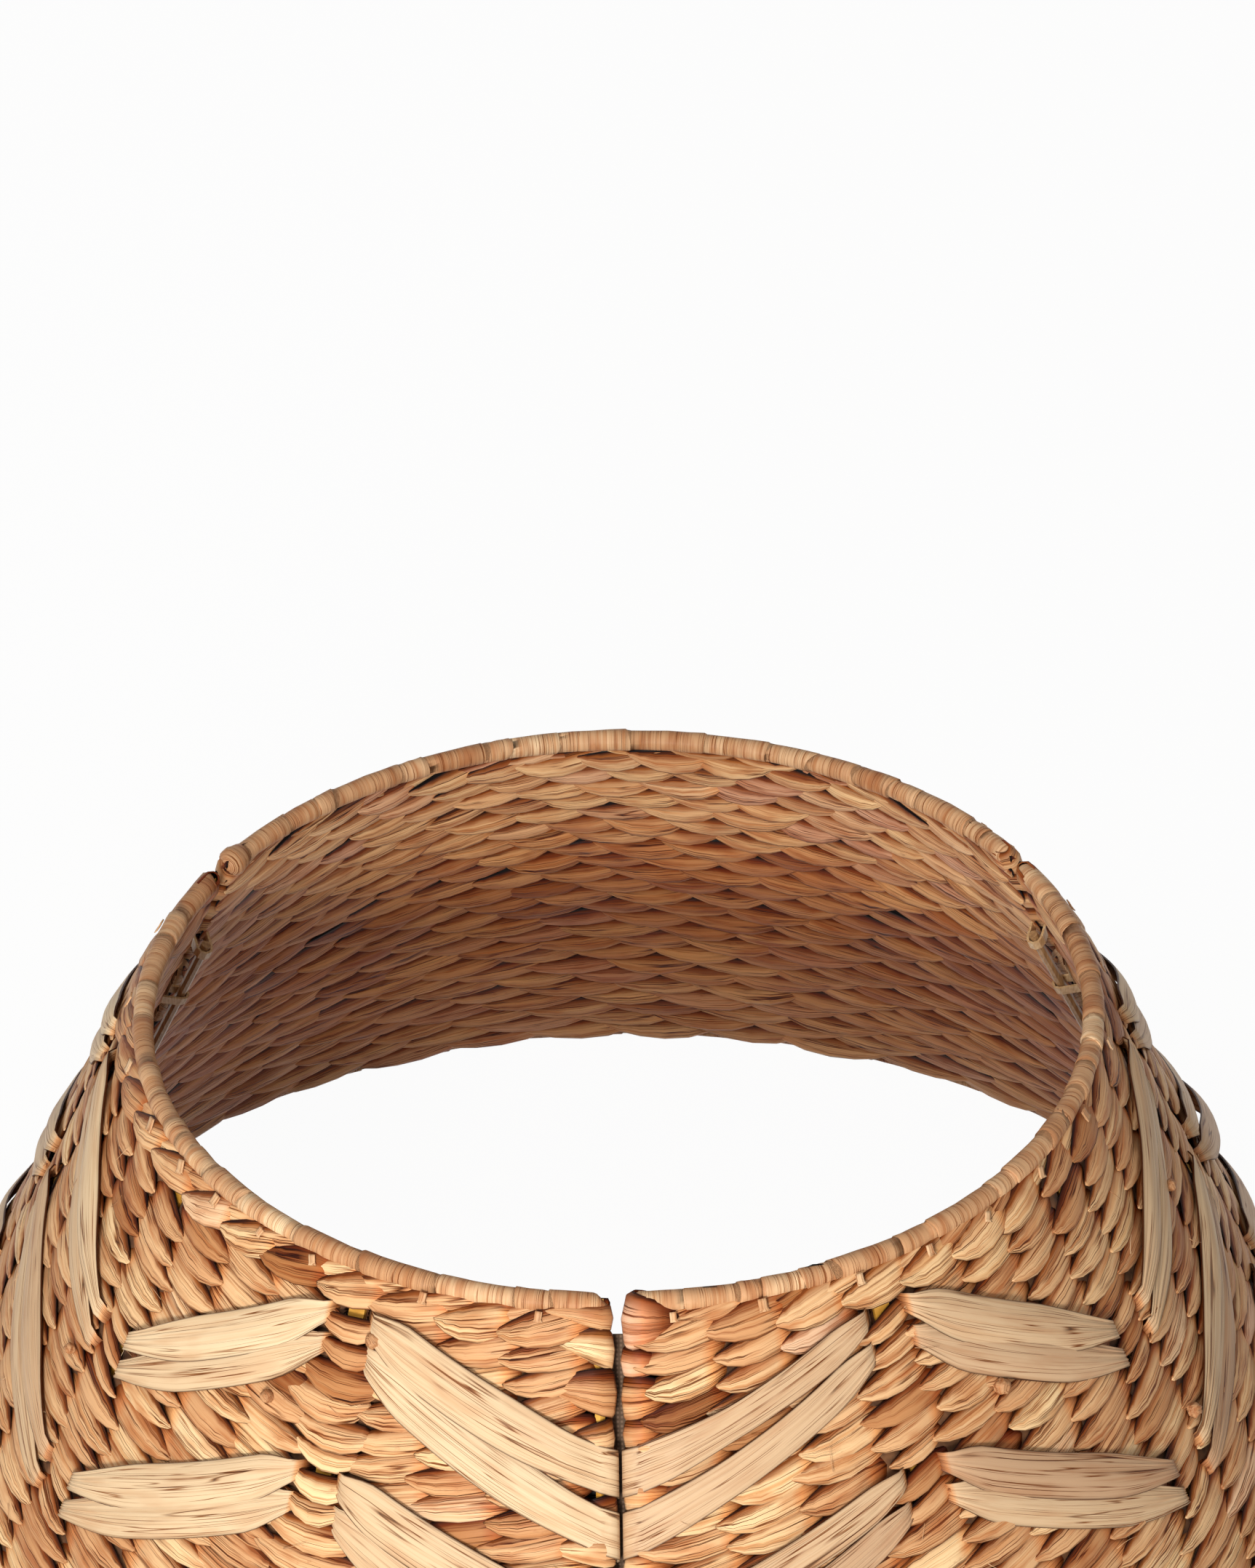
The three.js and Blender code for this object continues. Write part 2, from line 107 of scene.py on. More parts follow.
SLANT = math.hypot(BASE_RADIUS - RIM_RADIUS, RISE)
FLARE = (BASE_RADIUS - RIM_RADIUS) / SLANT
STEEP = RISE / SLANT
RIM_Z = RISE + WRAP_RADIUS
COLUMN_ANGLE = PANEL_ANGLE / COLUMNS
PANELS = {"right": 0, "back": PANEL_ANGLE, "left": 2 * PANEL_ANGLE}
print(f"slope: {SLANT:.1f} mm from rim to base")


# %% The cone itself
def radius_at(down, out=0):
    """Distance from the collar's axis."""
    return RIM_RADIUS + down * FLARE + out * STEEP


def on_cone(down, out, azimuth):
    """Points in metres, from millimetres down the slope and out of the wall."""
    radius = radius_at(down, out)
    height = RIM_Z - down * STEEP + out * FLARE
    return MM * np.stack((radius * np.sin(azimuth), -radius * np.cos(azimuth), height), axis=-1)


def beside_seam(side, down, out, sense):
    """Azimuth of a place beside a panel's first seam (sense 1) or its last seam (sense -1)."""
    turn = np.arcsin(side / radius_at(down, out))
    return turn if sense > 0 else PANEL_ANGLE - turn


# %% [markdown]
# ## Making pieces from rings and leaves
#
# The strips are swept shapes: a section carried along a line, closed at both ends. Each vertex also
# remembers where it lies on its own strip. "fibre" holds the distance along and across the strip in
# millimetres and a number of its own, and "leaf" holds the place from edge to edge, how much painted
# shade it takes, and a tone. The materials read these, so the grain follows every twist.

# %% Helpers that make a mesh
def make_piece(name, points, faces, fibre, leaf, material):
    """A smooth mesh with its two attributes, standing at the origin."""
    mesh = bpy.data.meshes.new(name)
    mesh.from_pydata(points.reshape(-1, 3).tolist(), [], faces)
    for key, values in (("fibre", fibre), ("leaf", leaf)):
        attribute = mesh.attributes.new(key, "FLOAT_VECTOR", "POINT")
        attribute.data.foreach_set("vector", np.asarray(values, np.float32).ravel())
    mesh.polygons.foreach_set("use_smooth", np.ones(len(mesh.polygons), bool))
    corners = np.empty(2 * len(mesh.edges), np.int32)
    mesh.edges.foreach_get("vertices", corners)
    on_edge = np.abs(np.asarray(leaf).reshape(-1, 3)[:, 0]) > 0.99
    crisp = mesh.attributes.new("sharp_edge", "BOOLEAN", "EDGE")
    crisp.data.foreach_set("value", on_edge[corners].reshape(-1, 2).all(1))
    mesh.materials.append(material)
    piece = bpy.data.objects.new(name, mesh)
    bpy.context.scene.collection.objects.link(piece)
    return piece


def ring_faces(stations, around, start=0):
    """Faces of a closed sleeve of rings, with a cap on each end."""
    faces = []
    for i in range(stations - 1):
        for j in range(around):
            a = start + i * around + j
            b = start + i * around + (j + 1) % around
            faces.append((a, b, b + around, a + around))
    faces.append(tuple(range(start + around - 1, start - 1, -1)))
    last = start + (stations - 1) * around
    faces.append(tuple(range(last, last + around)))
    return faces


def face_outwards(piece):
    """Turns the faces of a closed piece outwards."""
    shape = bmesh.new()
    shape.from_mesh(piece.data)
    bmesh.ops.recalc_face_normals(shape, faces=shape.faces)
    shape.to_mesh(piece.data)
    shape.free()


def mesh_points(piece):
    """The points and faces of a modelled piece, which is then removed."""
    points = np.array([vertex.co[:] for vertex in piece.data.vertices])
    faces = [tuple(face.vertices) for face in piece.data.polygons]
    bpy.data.objects.remove(piece)
    return points, faces


def triangles(piece):
    """How many triangles a piece comes to."""
    return sum(len(face.vertices) - 2 for face in piece.data.polygons)


# %% [markdown]
# ## Dried leaf, the one material of it all
#
# Water hyacinth leaf dries to a satin straw colour. It shrinks across its width, so fine fibres stand
# up all along it and dark creases open between them. One function mixes that finish: a tone for each
# strip, fine fibres, thin dark creases and a few rusty blotches. It also paints shade: darker towards
# both edges, on the upper half that the row above overlaps, and where a strip goes in under another or
# lies underneath. Each pattern has the length and the width of its grains in millimetres.

# %% Helpers for the materials
def linear(hex_colour):
    """An sRGB hex colour as Blender's linear red, green, blue and alpha."""
    channels = [int(hex_colour[i:i + 2], 16) / 255 for i in (1, 3, 5)]
    return [c / 12.92 if c <= 0.04045 else ((c + 0.055) / 1.055) ** 2.4 for c in channels] + [1]


def add(tree, kind, inputs=None, stops=(), **settings):
    """A node with its settings. An input is a value, or another node's output to link.

    A stop of a colour ramp is its place with a hex colour, or with one number for a grey.
    """
    node = tree.nodes.new("ShaderNode" + kind)
    for key, value in settings.items():
        setattr(node, key, value)
    for key, value in (inputs or {}).items():
        if isinstance(value, bpy.types.NodeSocket):
            tree.links.new(value, node.inputs[key])
        else:
            node.inputs[key].default_value = value
    if stops:
        elements = node.color_ramp.elements
        # A new stop starts in the middle, and then goes to its place
        while len(elements) < len(stops):
            elements.new(0.5)
        for element, (place, value) in zip(elements, stops):
            element.position = place
            element.color = linear(value) if isinstance(value, str) else (value, value, value, 1)
    return node


def new_material(name):
    """A new material, its node tree and its shader."""
    material = bpy.data.materials.new(name)
    material.use_nodes = True
    return material, material.node_tree, material.node_tree.nodes["Principled BSDF"]


def shade(tree, colour, pattern, stops, share=1.0):
    """A colour under the shades that a pattern gives."""
    shades = add(tree, "ValToRGB", {0: pattern}, stops).outputs[0]
    mixed = {0: share, 6: colour, 7: shades}
    return add(tree, "Mix", mixed, data_type="RGBA", blend_type="MULTIPLY").outputs[2]


def set_surface(tree, shader, colour, height, strength, depth_mm, roughness):
    """Gives a shader its colour, its relief and its roughness."""
    relief = add(tree, "Bump", {"Height": height, "Strength": strength, "Distance": depth_mm * MM})
    tree.links.new(colour, shader.inputs["Base Color"])
    tree.links.new(relief.outputs[0], shader.inputs["Normal"])
    shader.inputs["Roughness"].default_value = roughness


# %% Grains of the leaf, in millimetres along and across a strip, and the shades that they give
WHITE = linear("#FFFFFF")
CLOUD_MM = (24, 6)
CLOUD_SHADES = [(0.3, "#D6AE92"), (0.52, 1.0), (0.72, 1.06)]
PLEAT_MM = (70, 2.4)
PLEAT_SHADES = [(0.34, "#E6CBB2"), (0.5, 1.0), (0.66, 1.03)]
# Real fibres lie half a millimetre apart or less. They are drawn coarser, so that they show
FIBRE_MM = (50, 0.95)
FIBRE_SHADES = [(0.3, "#BC9270"), (0.45, 1.0), (0.66, 1.05)]
CREASE_LENGTH = 130
CRACK_LENGTH = 240
# Cracks lie so many times as far apart as creases
CRACK_SPREAD = 2.6
RUST_MM = (8, 3.2)
PATCH_MM = (22, 7)
# Painted shade: darker towards both edges, on the upper half, and where a strip goes in or lies
# underneath, with a warm tint halfway into that shade for warm bounce light
EDGE_PAINTED_SHADE = [(0.8, 1.0), (0.93, 0.86), (1.0, "#54341F")]
UPPER_PAINTED_SHADE = [(0.58, 1.0), (0.81, "#A87850"), (0.93, "#5E3A22"), (1.0, "#2E170B")]
TUCKED_PAINTED_SHADE = [(0.3, 1.0), (0.5, "#FFDCBE"), (0.74, "#A87650"), (0.9, "#4E2E1A"), (1.0, "#1E0E06")]


# %% The finish of a dried leaf
def leaf_grain(tree, fibre, grain_mm, detail=2.0, roughness=0.5):
    """Noise whose grains are so many millimetres along and across a strip."""
    along, across = grain_mm
    scaled = add(tree, "VectorMath", {0: fibre, 1: (1 / along, 1 / across, 1)}, operation="MULTIPLY")
    settings = {"Vector": scaled.outputs[0], "Scale": 1.0, "Detail": detail, "Roughness": roughness}
    return add(tree, "TexNoise", settings).outputs[0]


def hairlines(tree, fibre, grain_mm, dark, width):
    """Thin dark creases along a strip. They come and go."""
    furrow = leaf_grain(tree, fibre, grain_mm, 1.0)
    centred = add(tree, "Math", {0: furrow, 1: 0.5}, operation="SUBTRACT").outputs[0]
    nearness = add(tree, "Math", {0: centred}, operation="ABSOLUTE").outputs[0]
    stops = [(0.0, dark), (0.01 * width, "#B08A6C"), (0.026 * width, 1.0)]
    line = add(tree, "ValToRGB", {0: nearness}, stops).outputs[0]
    patch = leaf_grain(tree, fibre, PATCH_MM, 1.0)
    fading = add(tree, "ValToRGB", {0: patch}, [(0.44, 0.0), (0.62, 0.85)]).outputs[0]
    return add(tree, "Mix", {0: fading, 6: line, 7: WHITE}, data_type="RGBA").outputs[2]


def leaf_finish(name, tones, grain, crease_mm, crease_dark, cracks, blotch, upper_painted_shade, bump_mm):
    """tones run through the strips. grain, cracks, blotch and upper_painted_shade are strengths from 0 to 1."""
    material, tree, shader = new_material(name)
    fibre = add(tree, "Attribute", attribute_name="fibre").outputs["Vector"]
    leaf = add(tree, "Attribute", attribute_name="leaf").outputs["Vector"]
    place = add(tree, "SeparateXYZ", {0: leaf})
    cloud = leaf_grain(tree, fibre, CLOUD_MM)
    pleat = leaf_grain(tree, fibre, PLEAT_MM)
    fine = leaf_grain(tree, fibre, FIBRE_MM, roughness=0.6)
    colour = add(tree, "ValToRGB", {0: place.outputs[2]}, tones).outputs[0]
    for pattern, stops in ((cloud, CLOUD_SHADES), (pleat, PLEAT_SHADES), (fine, FIBRE_SHADES)):
        colour = shade(tree, colour, pattern, stops, grain)
    crease = hairlines(tree, fibre, (CREASE_LENGTH, crease_mm), crease_dark, 0.75)
    crack = hairlines(tree, fibre, (CRACK_LENGTH, CRACK_SPREAD * crease_mm), "#4A2C18", 0.5)
    for lines, share in ((crease, 1.0), (crack, cracks)):
        mixed = {0: share, 6: colour, 7: lines}
        colour = add(tree, "Mix", mixed, data_type="RGBA", blend_type="MULTIPLY").outputs[2]
    rust = leaf_grain(tree, fibre, RUST_MM, 3, 0.7)
    rust_share = add(tree, "ValToRGB", {0: rust}, [(0.62, 0.0), (0.78, blotch)]).outputs[0]
    rusty = {0: rust_share, 6: colour, 7: linear("#94502A")}
    colour = add(tree, "Mix", rusty, data_type="RGBA").outputs[2]
    # Painted shade along the edges, on the upper half, and where the strip goes in or lies underneath
    edge = add(tree, "Math", {0: place.outputs[0]}, operation="ABSOLUTE").outputs[0]
    upper = add(tree, "MapRange", {0: place.outputs[0], 1: -1.0, 2: 1.0}).outputs[0]
    colour = shade(tree, colour, edge, EDGE_PAINTED_SHADE)
    colour = shade(tree, colour, upper, UPPER_PAINTED_SHADE, upper_painted_shade)
    colour = shade(tree, colour, place.outputs[1], TUCKED_PAINTED_SHADE)

    height = add(tree, "Math", {0: fine, 1: 0.3}, operation="MULTIPLY").outputs[0]
    for pattern, share in ((crease, 0.7), (crack, cracks), (pleat, 1.1)):
        height = add(tree, "Math", {0: pattern, 1: share, 2: height}, operation="MULTIPLY_ADD").outputs[0]
    set_surface(tree, shader, colour, height, 1.0, bump_mm, 0.44)
    shader.inputs["Specular IOR Level"].default_value = 0.1
    return material


# %% Mix the leaf finishes
ROW_TONES = [
    (0.0, "#8A5430"), (0.15, "#AC7243"), (0.4, "#CB986A"), (0.6, "#DCB081"),
    (0.8, "#EBC795"), (1.0, "#D9AC8C"),
]
STRAP_TONES = [(0.0, "#B28B6A"), (0.3, "#C5A27F"), (0.6, "#D2B38D"), (1.0, "#DEC39D")]
WRAP_TONES = [(0.0, "#B8875E"), (0.4, "#CC9E74"), (0.8, "#DAB288"), (1.0, "#E8C69C")]
weave_leaf = leaf_finish(
    "twined_dried_leaf", ROW_TONES, grain=0.8, crease_mm=2.4, crease_dark="#6A4024",
    cracks=1.0, blotch=0.5, upper_painted_shade=1.0, bump_mm=0.36,
)
strap_leaf = leaf_finish(
    "flat_dried_leaf", STRAP_TONES, grain=0.3, crease_mm=2.6, crease_dark="#7C5234",
    cracks=0.9, blotch=0.06, upper_painted_shade=0.0, bump_mm=0.12,
)
wound_leaf = leaf_finish(
    "wound_leaf_strip", WRAP_TONES, grain=0.7, crease_mm=1.5, crease_dark="#A68260",
    cracks=0.25, blotch=0.06, upper_painted_shade=0.0, bump_mm=0.26,
)
print("leaf finishes:", weave_leaf.name, strap_leaf.name, wound_leaf.name)

# %% [markdown]
# ## One stitch of the weave
#
# In twining, two strips cross between the stakes, and each covers every other stake outside. What
# shows of it is a leaf shape: a sharp tip that lies over its neighbour, a broad middle, and an end
# that goes in under the next one. It is modelled once, from a ball: turned on its side, drawn out
# ring by ring to its outline, with crisp edges, and flattened underneath.

# %% Model a leaf from a ball
LEAF_SIDES = 8


def leaf_width(x):
    """Width of a leaf at a place from its free tip (-1) to its hidden end (1)."""
    return (1 - x * x) ** 0.62 * (1 + 0.28 * x)


def model_leaf(rings):
    """Points and faces of a leaf of unit size, each point's place from edge to edge, its underside."""
    bpy.ops.mesh.primitive_uv_sphere_add(segments=LEAF_SIDES, ring_count=rings, radius=1)
    ball = bpy.context.object
    bpy.ops.object.mode_set(mode="EDIT")
    bpy.ops.transform.rotate(value=math.pi / 2, orient_axis="Y", center_override=(0, 0, 0))
    shape = bmesh.from_edit_mesh(ball.data)

    def resize(chosen, value, centre):
        """Scales the chosen points about a centre."""
        for vertex in shape.verts:
            vertex.select = chosen(vertex.co)
        shape.select_flush_mode()
        bmesh.update_edit_mesh(ball.data)
        bpy.ops.transform.resize(value=value, center_override=centre)

    # The points between the ridge and the edges go out and down, which leaves the edges crisp
    resize(lambda co: abs(co.y) > 0.01 and abs(co.z) > 0.01, (1, 1.12, 0.78), (0, 0, 0))
    for place in sorted({round(v.co.x, 4) for v in shape.verts if abs(v.co.x) < 0.999}):
        drawn = leaf_width(place) / math.sqrt(1 - place * place)
        resize(lambda co: abs(co.x - place) < 0.001, (1, drawn, drawn), (place, 0, 0))
    resize(lambda co: co.z < -0.01, (1, 1, 0.4), (0, 0, 0))
    bpy.ops.object.mode_set(mode="OBJECT")
    points, faces = mesh_points(ball)
    width = np.maximum(leaf_width(np.clip(points[:, 0], -0.9999, 0.9999)), 0.001)
    edge = np.where(np.abs(points[:, 0]) > 0.999, 0, points[:, 1] / width)
    return points, faces, np.clip(edge, -1, 1), (points[:, 2] < -0.01).astype(float)


stitch_points, stitch_faces, stitch_edge, stitch_under = model_leaf(8)
block_points, block_faces, block_edge, block_under = model_leaf(18)
print("stitch:", len(stitch_faces), "faces; end block:", len(block_faces), "faces")

# %% [markdown]
# ## Twining the rows
#
# A row runs round the panel from end stake to end stake. Over each stake inside it lies one stitch on
# the outer face and one on the inner face. A stitch leans, and its lower tip lies on top, so a row
# looks like a flat rope. Each lower edge stands a little proud, so the rows overlap like scales. Where
# the lean changes sides, at a bar, the stitches hang level like a smile. Nothing here is quite even:
# seeded random numbers vary every length, width, lean and tone.

# %% Sizes of the weave
ROWS = 24
STAKES = 16
ROW_START = 4.2
ROW_PITCH = (SLANT - 2 * ROW_START) / ROWS
STITCH_REACH = 1.52
STITCH_WIDTH = 17
SCALE_WIDTH = 18.5
STITCH_DEPTH = 2.2
STITCH_LEAN = 4.2
SEAM_ROOM = 3.4
BAR_STAKES = (4, 8, 12)
# The stake where the outer rows of the left panel change their lean
LEVEL_STAKE = 12
# The place, in stakes, round which the rows inside the back slowly change theirs
BACK_LEVEL_STAKE = 6.5
FIRST_ROW_WIDTH = 19
NARROW_REACH = 36
NARROW_WIDTH = 12
CRESCENT_SMILE = (4, 6)
# How far out the middle of a hanging stitch lies, and how far its ends lie back from there
CRESCENT_LEVELS = (5.2, 1.2)
LOWEST_STITCH = SLANT - 9
# Inside, painted shade and warm bounce light: halfway between the rim and the base the tone dips,
# and the leaf is darker and warmer there than near them
INSIDE_ROWS = (0, 5, 10, 16, 23)
INSIDE_TONES_AND_SHADE = (0.25, 0.25, 0.04, 0.16, 0.26)
INSIDE_PAINTED_SHADE = (0.34, 0.4, 0.54, 0.5, 0.4)
# Inside, the painted shade of each scale's upper edge moves this far onto the part that shows
INSIDE_SHADE_SHIFT = 0.22
BAR_SHIFT = 5.7
FILLER_DOWN = 5.0
FILLER_WIDTH = 10.5
FILLER_SINK = 1.4
# How far out the middle of a stitch lies, from its free tip to its hidden end
LEVEL_PLACES = (-1, -0.6, 0, 0.35, 0.7, 1)
LEVELS = (5.0, 4.6, 3.7, 2.9, 1.5, 0.0)

# %% How unlike one another the stitches are
# Shares go from the least to the most. A pair of other numbers is a middle and a spread
ROW_TONE_SPREAD = 0.04
ROUND_SPREAD = 1.3
DOWN_SPREAD = 0.5
REACH_SHARES = (0.92, 1.12)
WIDTH_SHARES = (0.9, 1.12)
DEPTH_SHARES = (0.8, 1.15)
LEAN_SHARES = (0.75, 1.25)
SMILE = (0.3, 0.6)
OUTSIDE_TILT = (9, 4)
INSIDE_TILT = (14, 4)
TWIST_SPREAD = 8
STITCH_TONE = 0.55
TONE_SPREAD = 0.17


# %% Which way a stitch leans
def lean_of(panel, face, row, stake):
    """Which way a stitch leans: 1 rises to the right, -1 falls, 0 hangs level."""
    if face > 0 and panel == "left":
        if stake > LEVEL_STAKE or row < 1:
            return 1
        return 0 if stake == LEVEL_STAKE else -1
    if face > 0:
        return 1 if panel == "right" or stake > STAKES / 2 else -1
    if panel == "back":
        return float(np.clip((stake - BACK_LEVEL_STAKE) / 4, -1, 1))
    return 1 if panel == "left" else -1


# %% [markdown]
# ## Straps need room
#
# Six leaf straps cross each panel in three pairs. They go in behind the gold bars at the peaks and
# valleys of their zigzag, and turn round the panel's ends at the seams. The rows give way there: over
# a bar they lie half a row lower, with one narrow stitch between the two leaves, so that a little gold
# shows above and below it. Under a strap's turn they lie flat.

# %% Where the straps run, in millimetres down the slope
STRAP_PAIRS = 3
STRAP_ROW = SLANT / ROWS
FIRST_PEAK = 1.6 * STRAP_ROW
LEAF_STEP = 1.2 * STRAP_ROW
PAIR_STEP = 6 * STRAP_ROW
STRAP_DROP = 6.1 * STRAP_ROW
SEAM_DROPS = (4.2 * STRAP_ROW, 5.2 * STRAP_ROW)
STRAP_END_WIDTH = 21
TUCK_ROOM = 8

straps = []
for pair in range(STRAP_PAIRS):
    for order, leaf_name in enumerate(("upper", "lower")):
        peak = FIRST_PEAK + pair * PAIR_STEP + order * LEAF_STEP
        straps.append({
            "name": f"strap_{pair + 1}_{leaf_name}",
            "upper": order == 0,
            "peak": peak,
            "valley": peak + STRAP_DROP,
            "seam": peak + SEAM_DROPS[order],
        })
print("strap ends at the seams, mm down:", [round(strap["seam"]) for strap in straps])


def near_tuck(stake, down):
    """True where a strap goes in behind the bar of that stake."""
    level = "valley" if stake == STAKES / 2 else "peak"
    return stake in BAR_STAKES and any(abs(down - strap[level]) < TUCK_ROOM for strap in straps)


# %% List the stitches of a panel
def stitch_places(face, row):
    """Where a row's stitches lie, counted in stakes. Inside, every other row is set between them."""
    if row >= 0 and (face > 0 or row % 2 == 0):
        return range(1, STAKES)
    return [0.7, *np.arange(1.5, STAKES - 1), STAKES - 0.7]


def stitch_table(panel, random):
    """One line of sizes for each stitch of a panel."""
    lines = []
    for face in (1, -1):
        for row in range(-1, ROWS):
            row_tone = random.normal(0, ROW_TONE_SPREAD)
            if face < 0:
                row_tone += np.interp(row, INSIDE_ROWS, INSIDE_TONES_AND_SHADE)
            for stake in stitch_places(face, row):
                down = ROW_START + (row + 0.5) * ROW_PITCH if row >= 0 else FILLER_DOWN
                spacing = radius_at(down) * PANEL_ANGLE / STAKES
                at_bar = face > 0 and stake in BAR_STAKES
                if at_bar and row > 0:
                    down = min(down + BAR_SHIFT, LOWEST_STITCH)
                narrow = at_bar and near_tuck(stake, down)
                lean = lean_of(panel, face, row, stake)
                crescent = at_bar and lean == 0
                width = STITCH_WIDTH if face > 0 else SCALE_WIDTH
                if narrow:
                    width = NARROW_WIDTH
                elif row <= 0:
                    width = FIRST_ROW_WIDTH if row == 0 else FILLER_WIDTH
                inside_smile = (1.35 - abs(lean)) * random.uniform(*CRESCENT_SMILE)
                lines.append((
                    face,
                    PANEL_ANGLE * stake / STAKES + random.normal(0, ROUND_SPREAD) / radius_at(down),
                    down + random.normal(0, DOWN_SPREAD),
                    (NARROW_REACH if narrow else spacing * STITCH_REACH) * random.uniform(*REACH_SHARES),
                    width * random.uniform(*WIDTH_SHARES),
                    STITCH_DEPTH * random.uniform(*DEPTH_SHARES),
                    lean * STITCH_LEAN * random.uniform(*LEAN_SHARES),
                    random.uniform(*CRESCENT_SMILE) if crescent
                    else (face < 0) * inside_smile + random.normal(*SMILE),
                    math.radians(random.normal(*(OUTSIDE_TILT if face > 0 else INSIDE_TILT))),
                    math.radians(random.normal(0, TWIST_SPREAD)),
                    np.clip(STITCH_TONE + row_tone + random.normal(0, TONE_SPREAD), 0, 1),
                    1 if crescent else 0.4 * (1 - abs(lean)),
                    FILLER_SINK if row < 0 else 0,
                ))
    return np.array(lines, float)


# %% Lay the stitches on the cone
def lay_stitches(table, azimuth, random):
    """Points, fibre places and leaf places for a table of stitches."""
    columns = [column[:, None] for column in table.T]
    face, round_place, down, reach, width, depth, lean, smile, tilt, twist, tone, hanging, sunk = columns
    x = stitch_points[None, :, 0]
    way = np.where(lean < 0, -1.0, 1.0)
    along = way * x * reach / 2
    across = stitch_points[:, 1] * width / 2
    proud = stitch_points[:, 2] * depth
    angle = -tilt + twist * x
    up = across * np.cos(angle) - proud * np.sin(angle)
    middle_up = np.abs(lean) * np.sin(x * np.pi / 2) + smile * (x ** 2 - 0.2)
    middle_out = np.interp(x, LEVEL_PLACES, LEVELS)
    middle, drop = CRESCENT_LEVELS
    middle_out = middle_out + hanging * (middle - drop * x ** 4 - middle_out) - sunk
    out = middle_out + across * np.sin(angle) + proud * np.cos(angle)
    place_down = down - middle_up - up
    turn = round_place + face * along / radius_at(place_down, face * out)
    first = beside_seam(SEAM_ROOM, place_down, face * out, 1)
    last = beside_seam(SEAM_ROOM, place_down, face * out, -1)
    points = on_cone(place_down, face * out, azimuth + np.clip(turn, first, last))
    own = random.uniform(0, 900, len(table))[:, None]
    converging = 0.75 * stitch_edge * width / 2 + 0.25 * across
    # Painted shade: towards the hidden end of a stitch, on its underside, and inside by row
    hidden = np.maximum(x * (1 - hanging), stitch_under)
    inside_shade = np.interp((down - ROW_START) / ROW_PITCH, INSIDE_ROWS, INSIDE_PAINTED_SHADE)
    hidden = np.maximum(hidden, np.where(face < 0, inside_shade, 0))
    fibre = np.stack(np.broadcast_arrays(along + own, converging, own), axis=-1)
    edge = np.clip(stitch_edge + np.where(face < 0, INSIDE_SHADE_SHIFT, 0), -1, 1)
    leaf = np.stack(np.broadcast_arrays(edge, hidden, tone), axis=-1)
    return points, fibre, leaf


def copies(faces, size, count, start=0):
    """Faces of so many copies of a shape, each of so many points."""
    return [
        tuple(start + copy * size + corner for corner in face)
        for copy in range(count)
        for face in faces
    ]


# %% [markdown]
# ## Turning round the end stakes
#
# At the end of a row the strip goes round the end stake and comes back inside. It opens out there like
# a fan, so each panel ends in a stack of rounded blocks. At the front seam they bulge over the gap by
# turns. The same leaf is modelled with more rings, drawn longer and bent round the stake.

# %% Sizes of the end blocks
# Where the first block of a stack starts and ends, in millimetres down the slope
FIRST_BLOCK = (-4.5, 10)
TOP_BLOCKS = {("right", 1): (-5.4, 19), ("left", -1): (0.5, 12)}
# A block that starts above this place doesn't bulge
TOP_REACH = 5
BLOCK_HEIGHT = (12, 15)
FRONT_BLOCK_HEIGHT = (12, 21)
BLOCK_BEND = 3.9
TOP_FRONT_BEND = 5.0
BLOCK_DEPTH = 1.9
FRONT_BLOCK_DEPTH = 2.4
# Under a strap's turn a block lies flat
FLAT_BEND = 3.4
FLAT_DEPTH = 0.9
FLAT_FRONT_BULGE = 2.7
# The least and the most that a block in front bulges, in the right stack and in the left one
RIGHT_BULGE = (0.6, 1.9)
LEFT_BULGE = (0, 1.9)
# How far a block's ends run on from the stake, and how deep they go in there
BLOCK_TAIL = (17, 27)
TAIL_DEPTH = 3.2
# A tip that lies on top of its neighbour is lifted instead
TIP_LIFT = 0.6
BLOCK_OVERLAP = 0.9
# Middle and spread
BLOCK_RISE = (1.5, 2)
BLOCK_TONE = (0.58, 0.2)
FRONT_ENDS = (("right", 1), ("left", -1))
RIM_ROUND = 6
TIPS_ON_TOP = ("left", -1)


def under_strap(down):
    """True where a strap turns round the panel's end."""
    return any(abs(down - strap["seam"]) < STRAP_END_WIDTH / 2 - 1 for strap in straps)


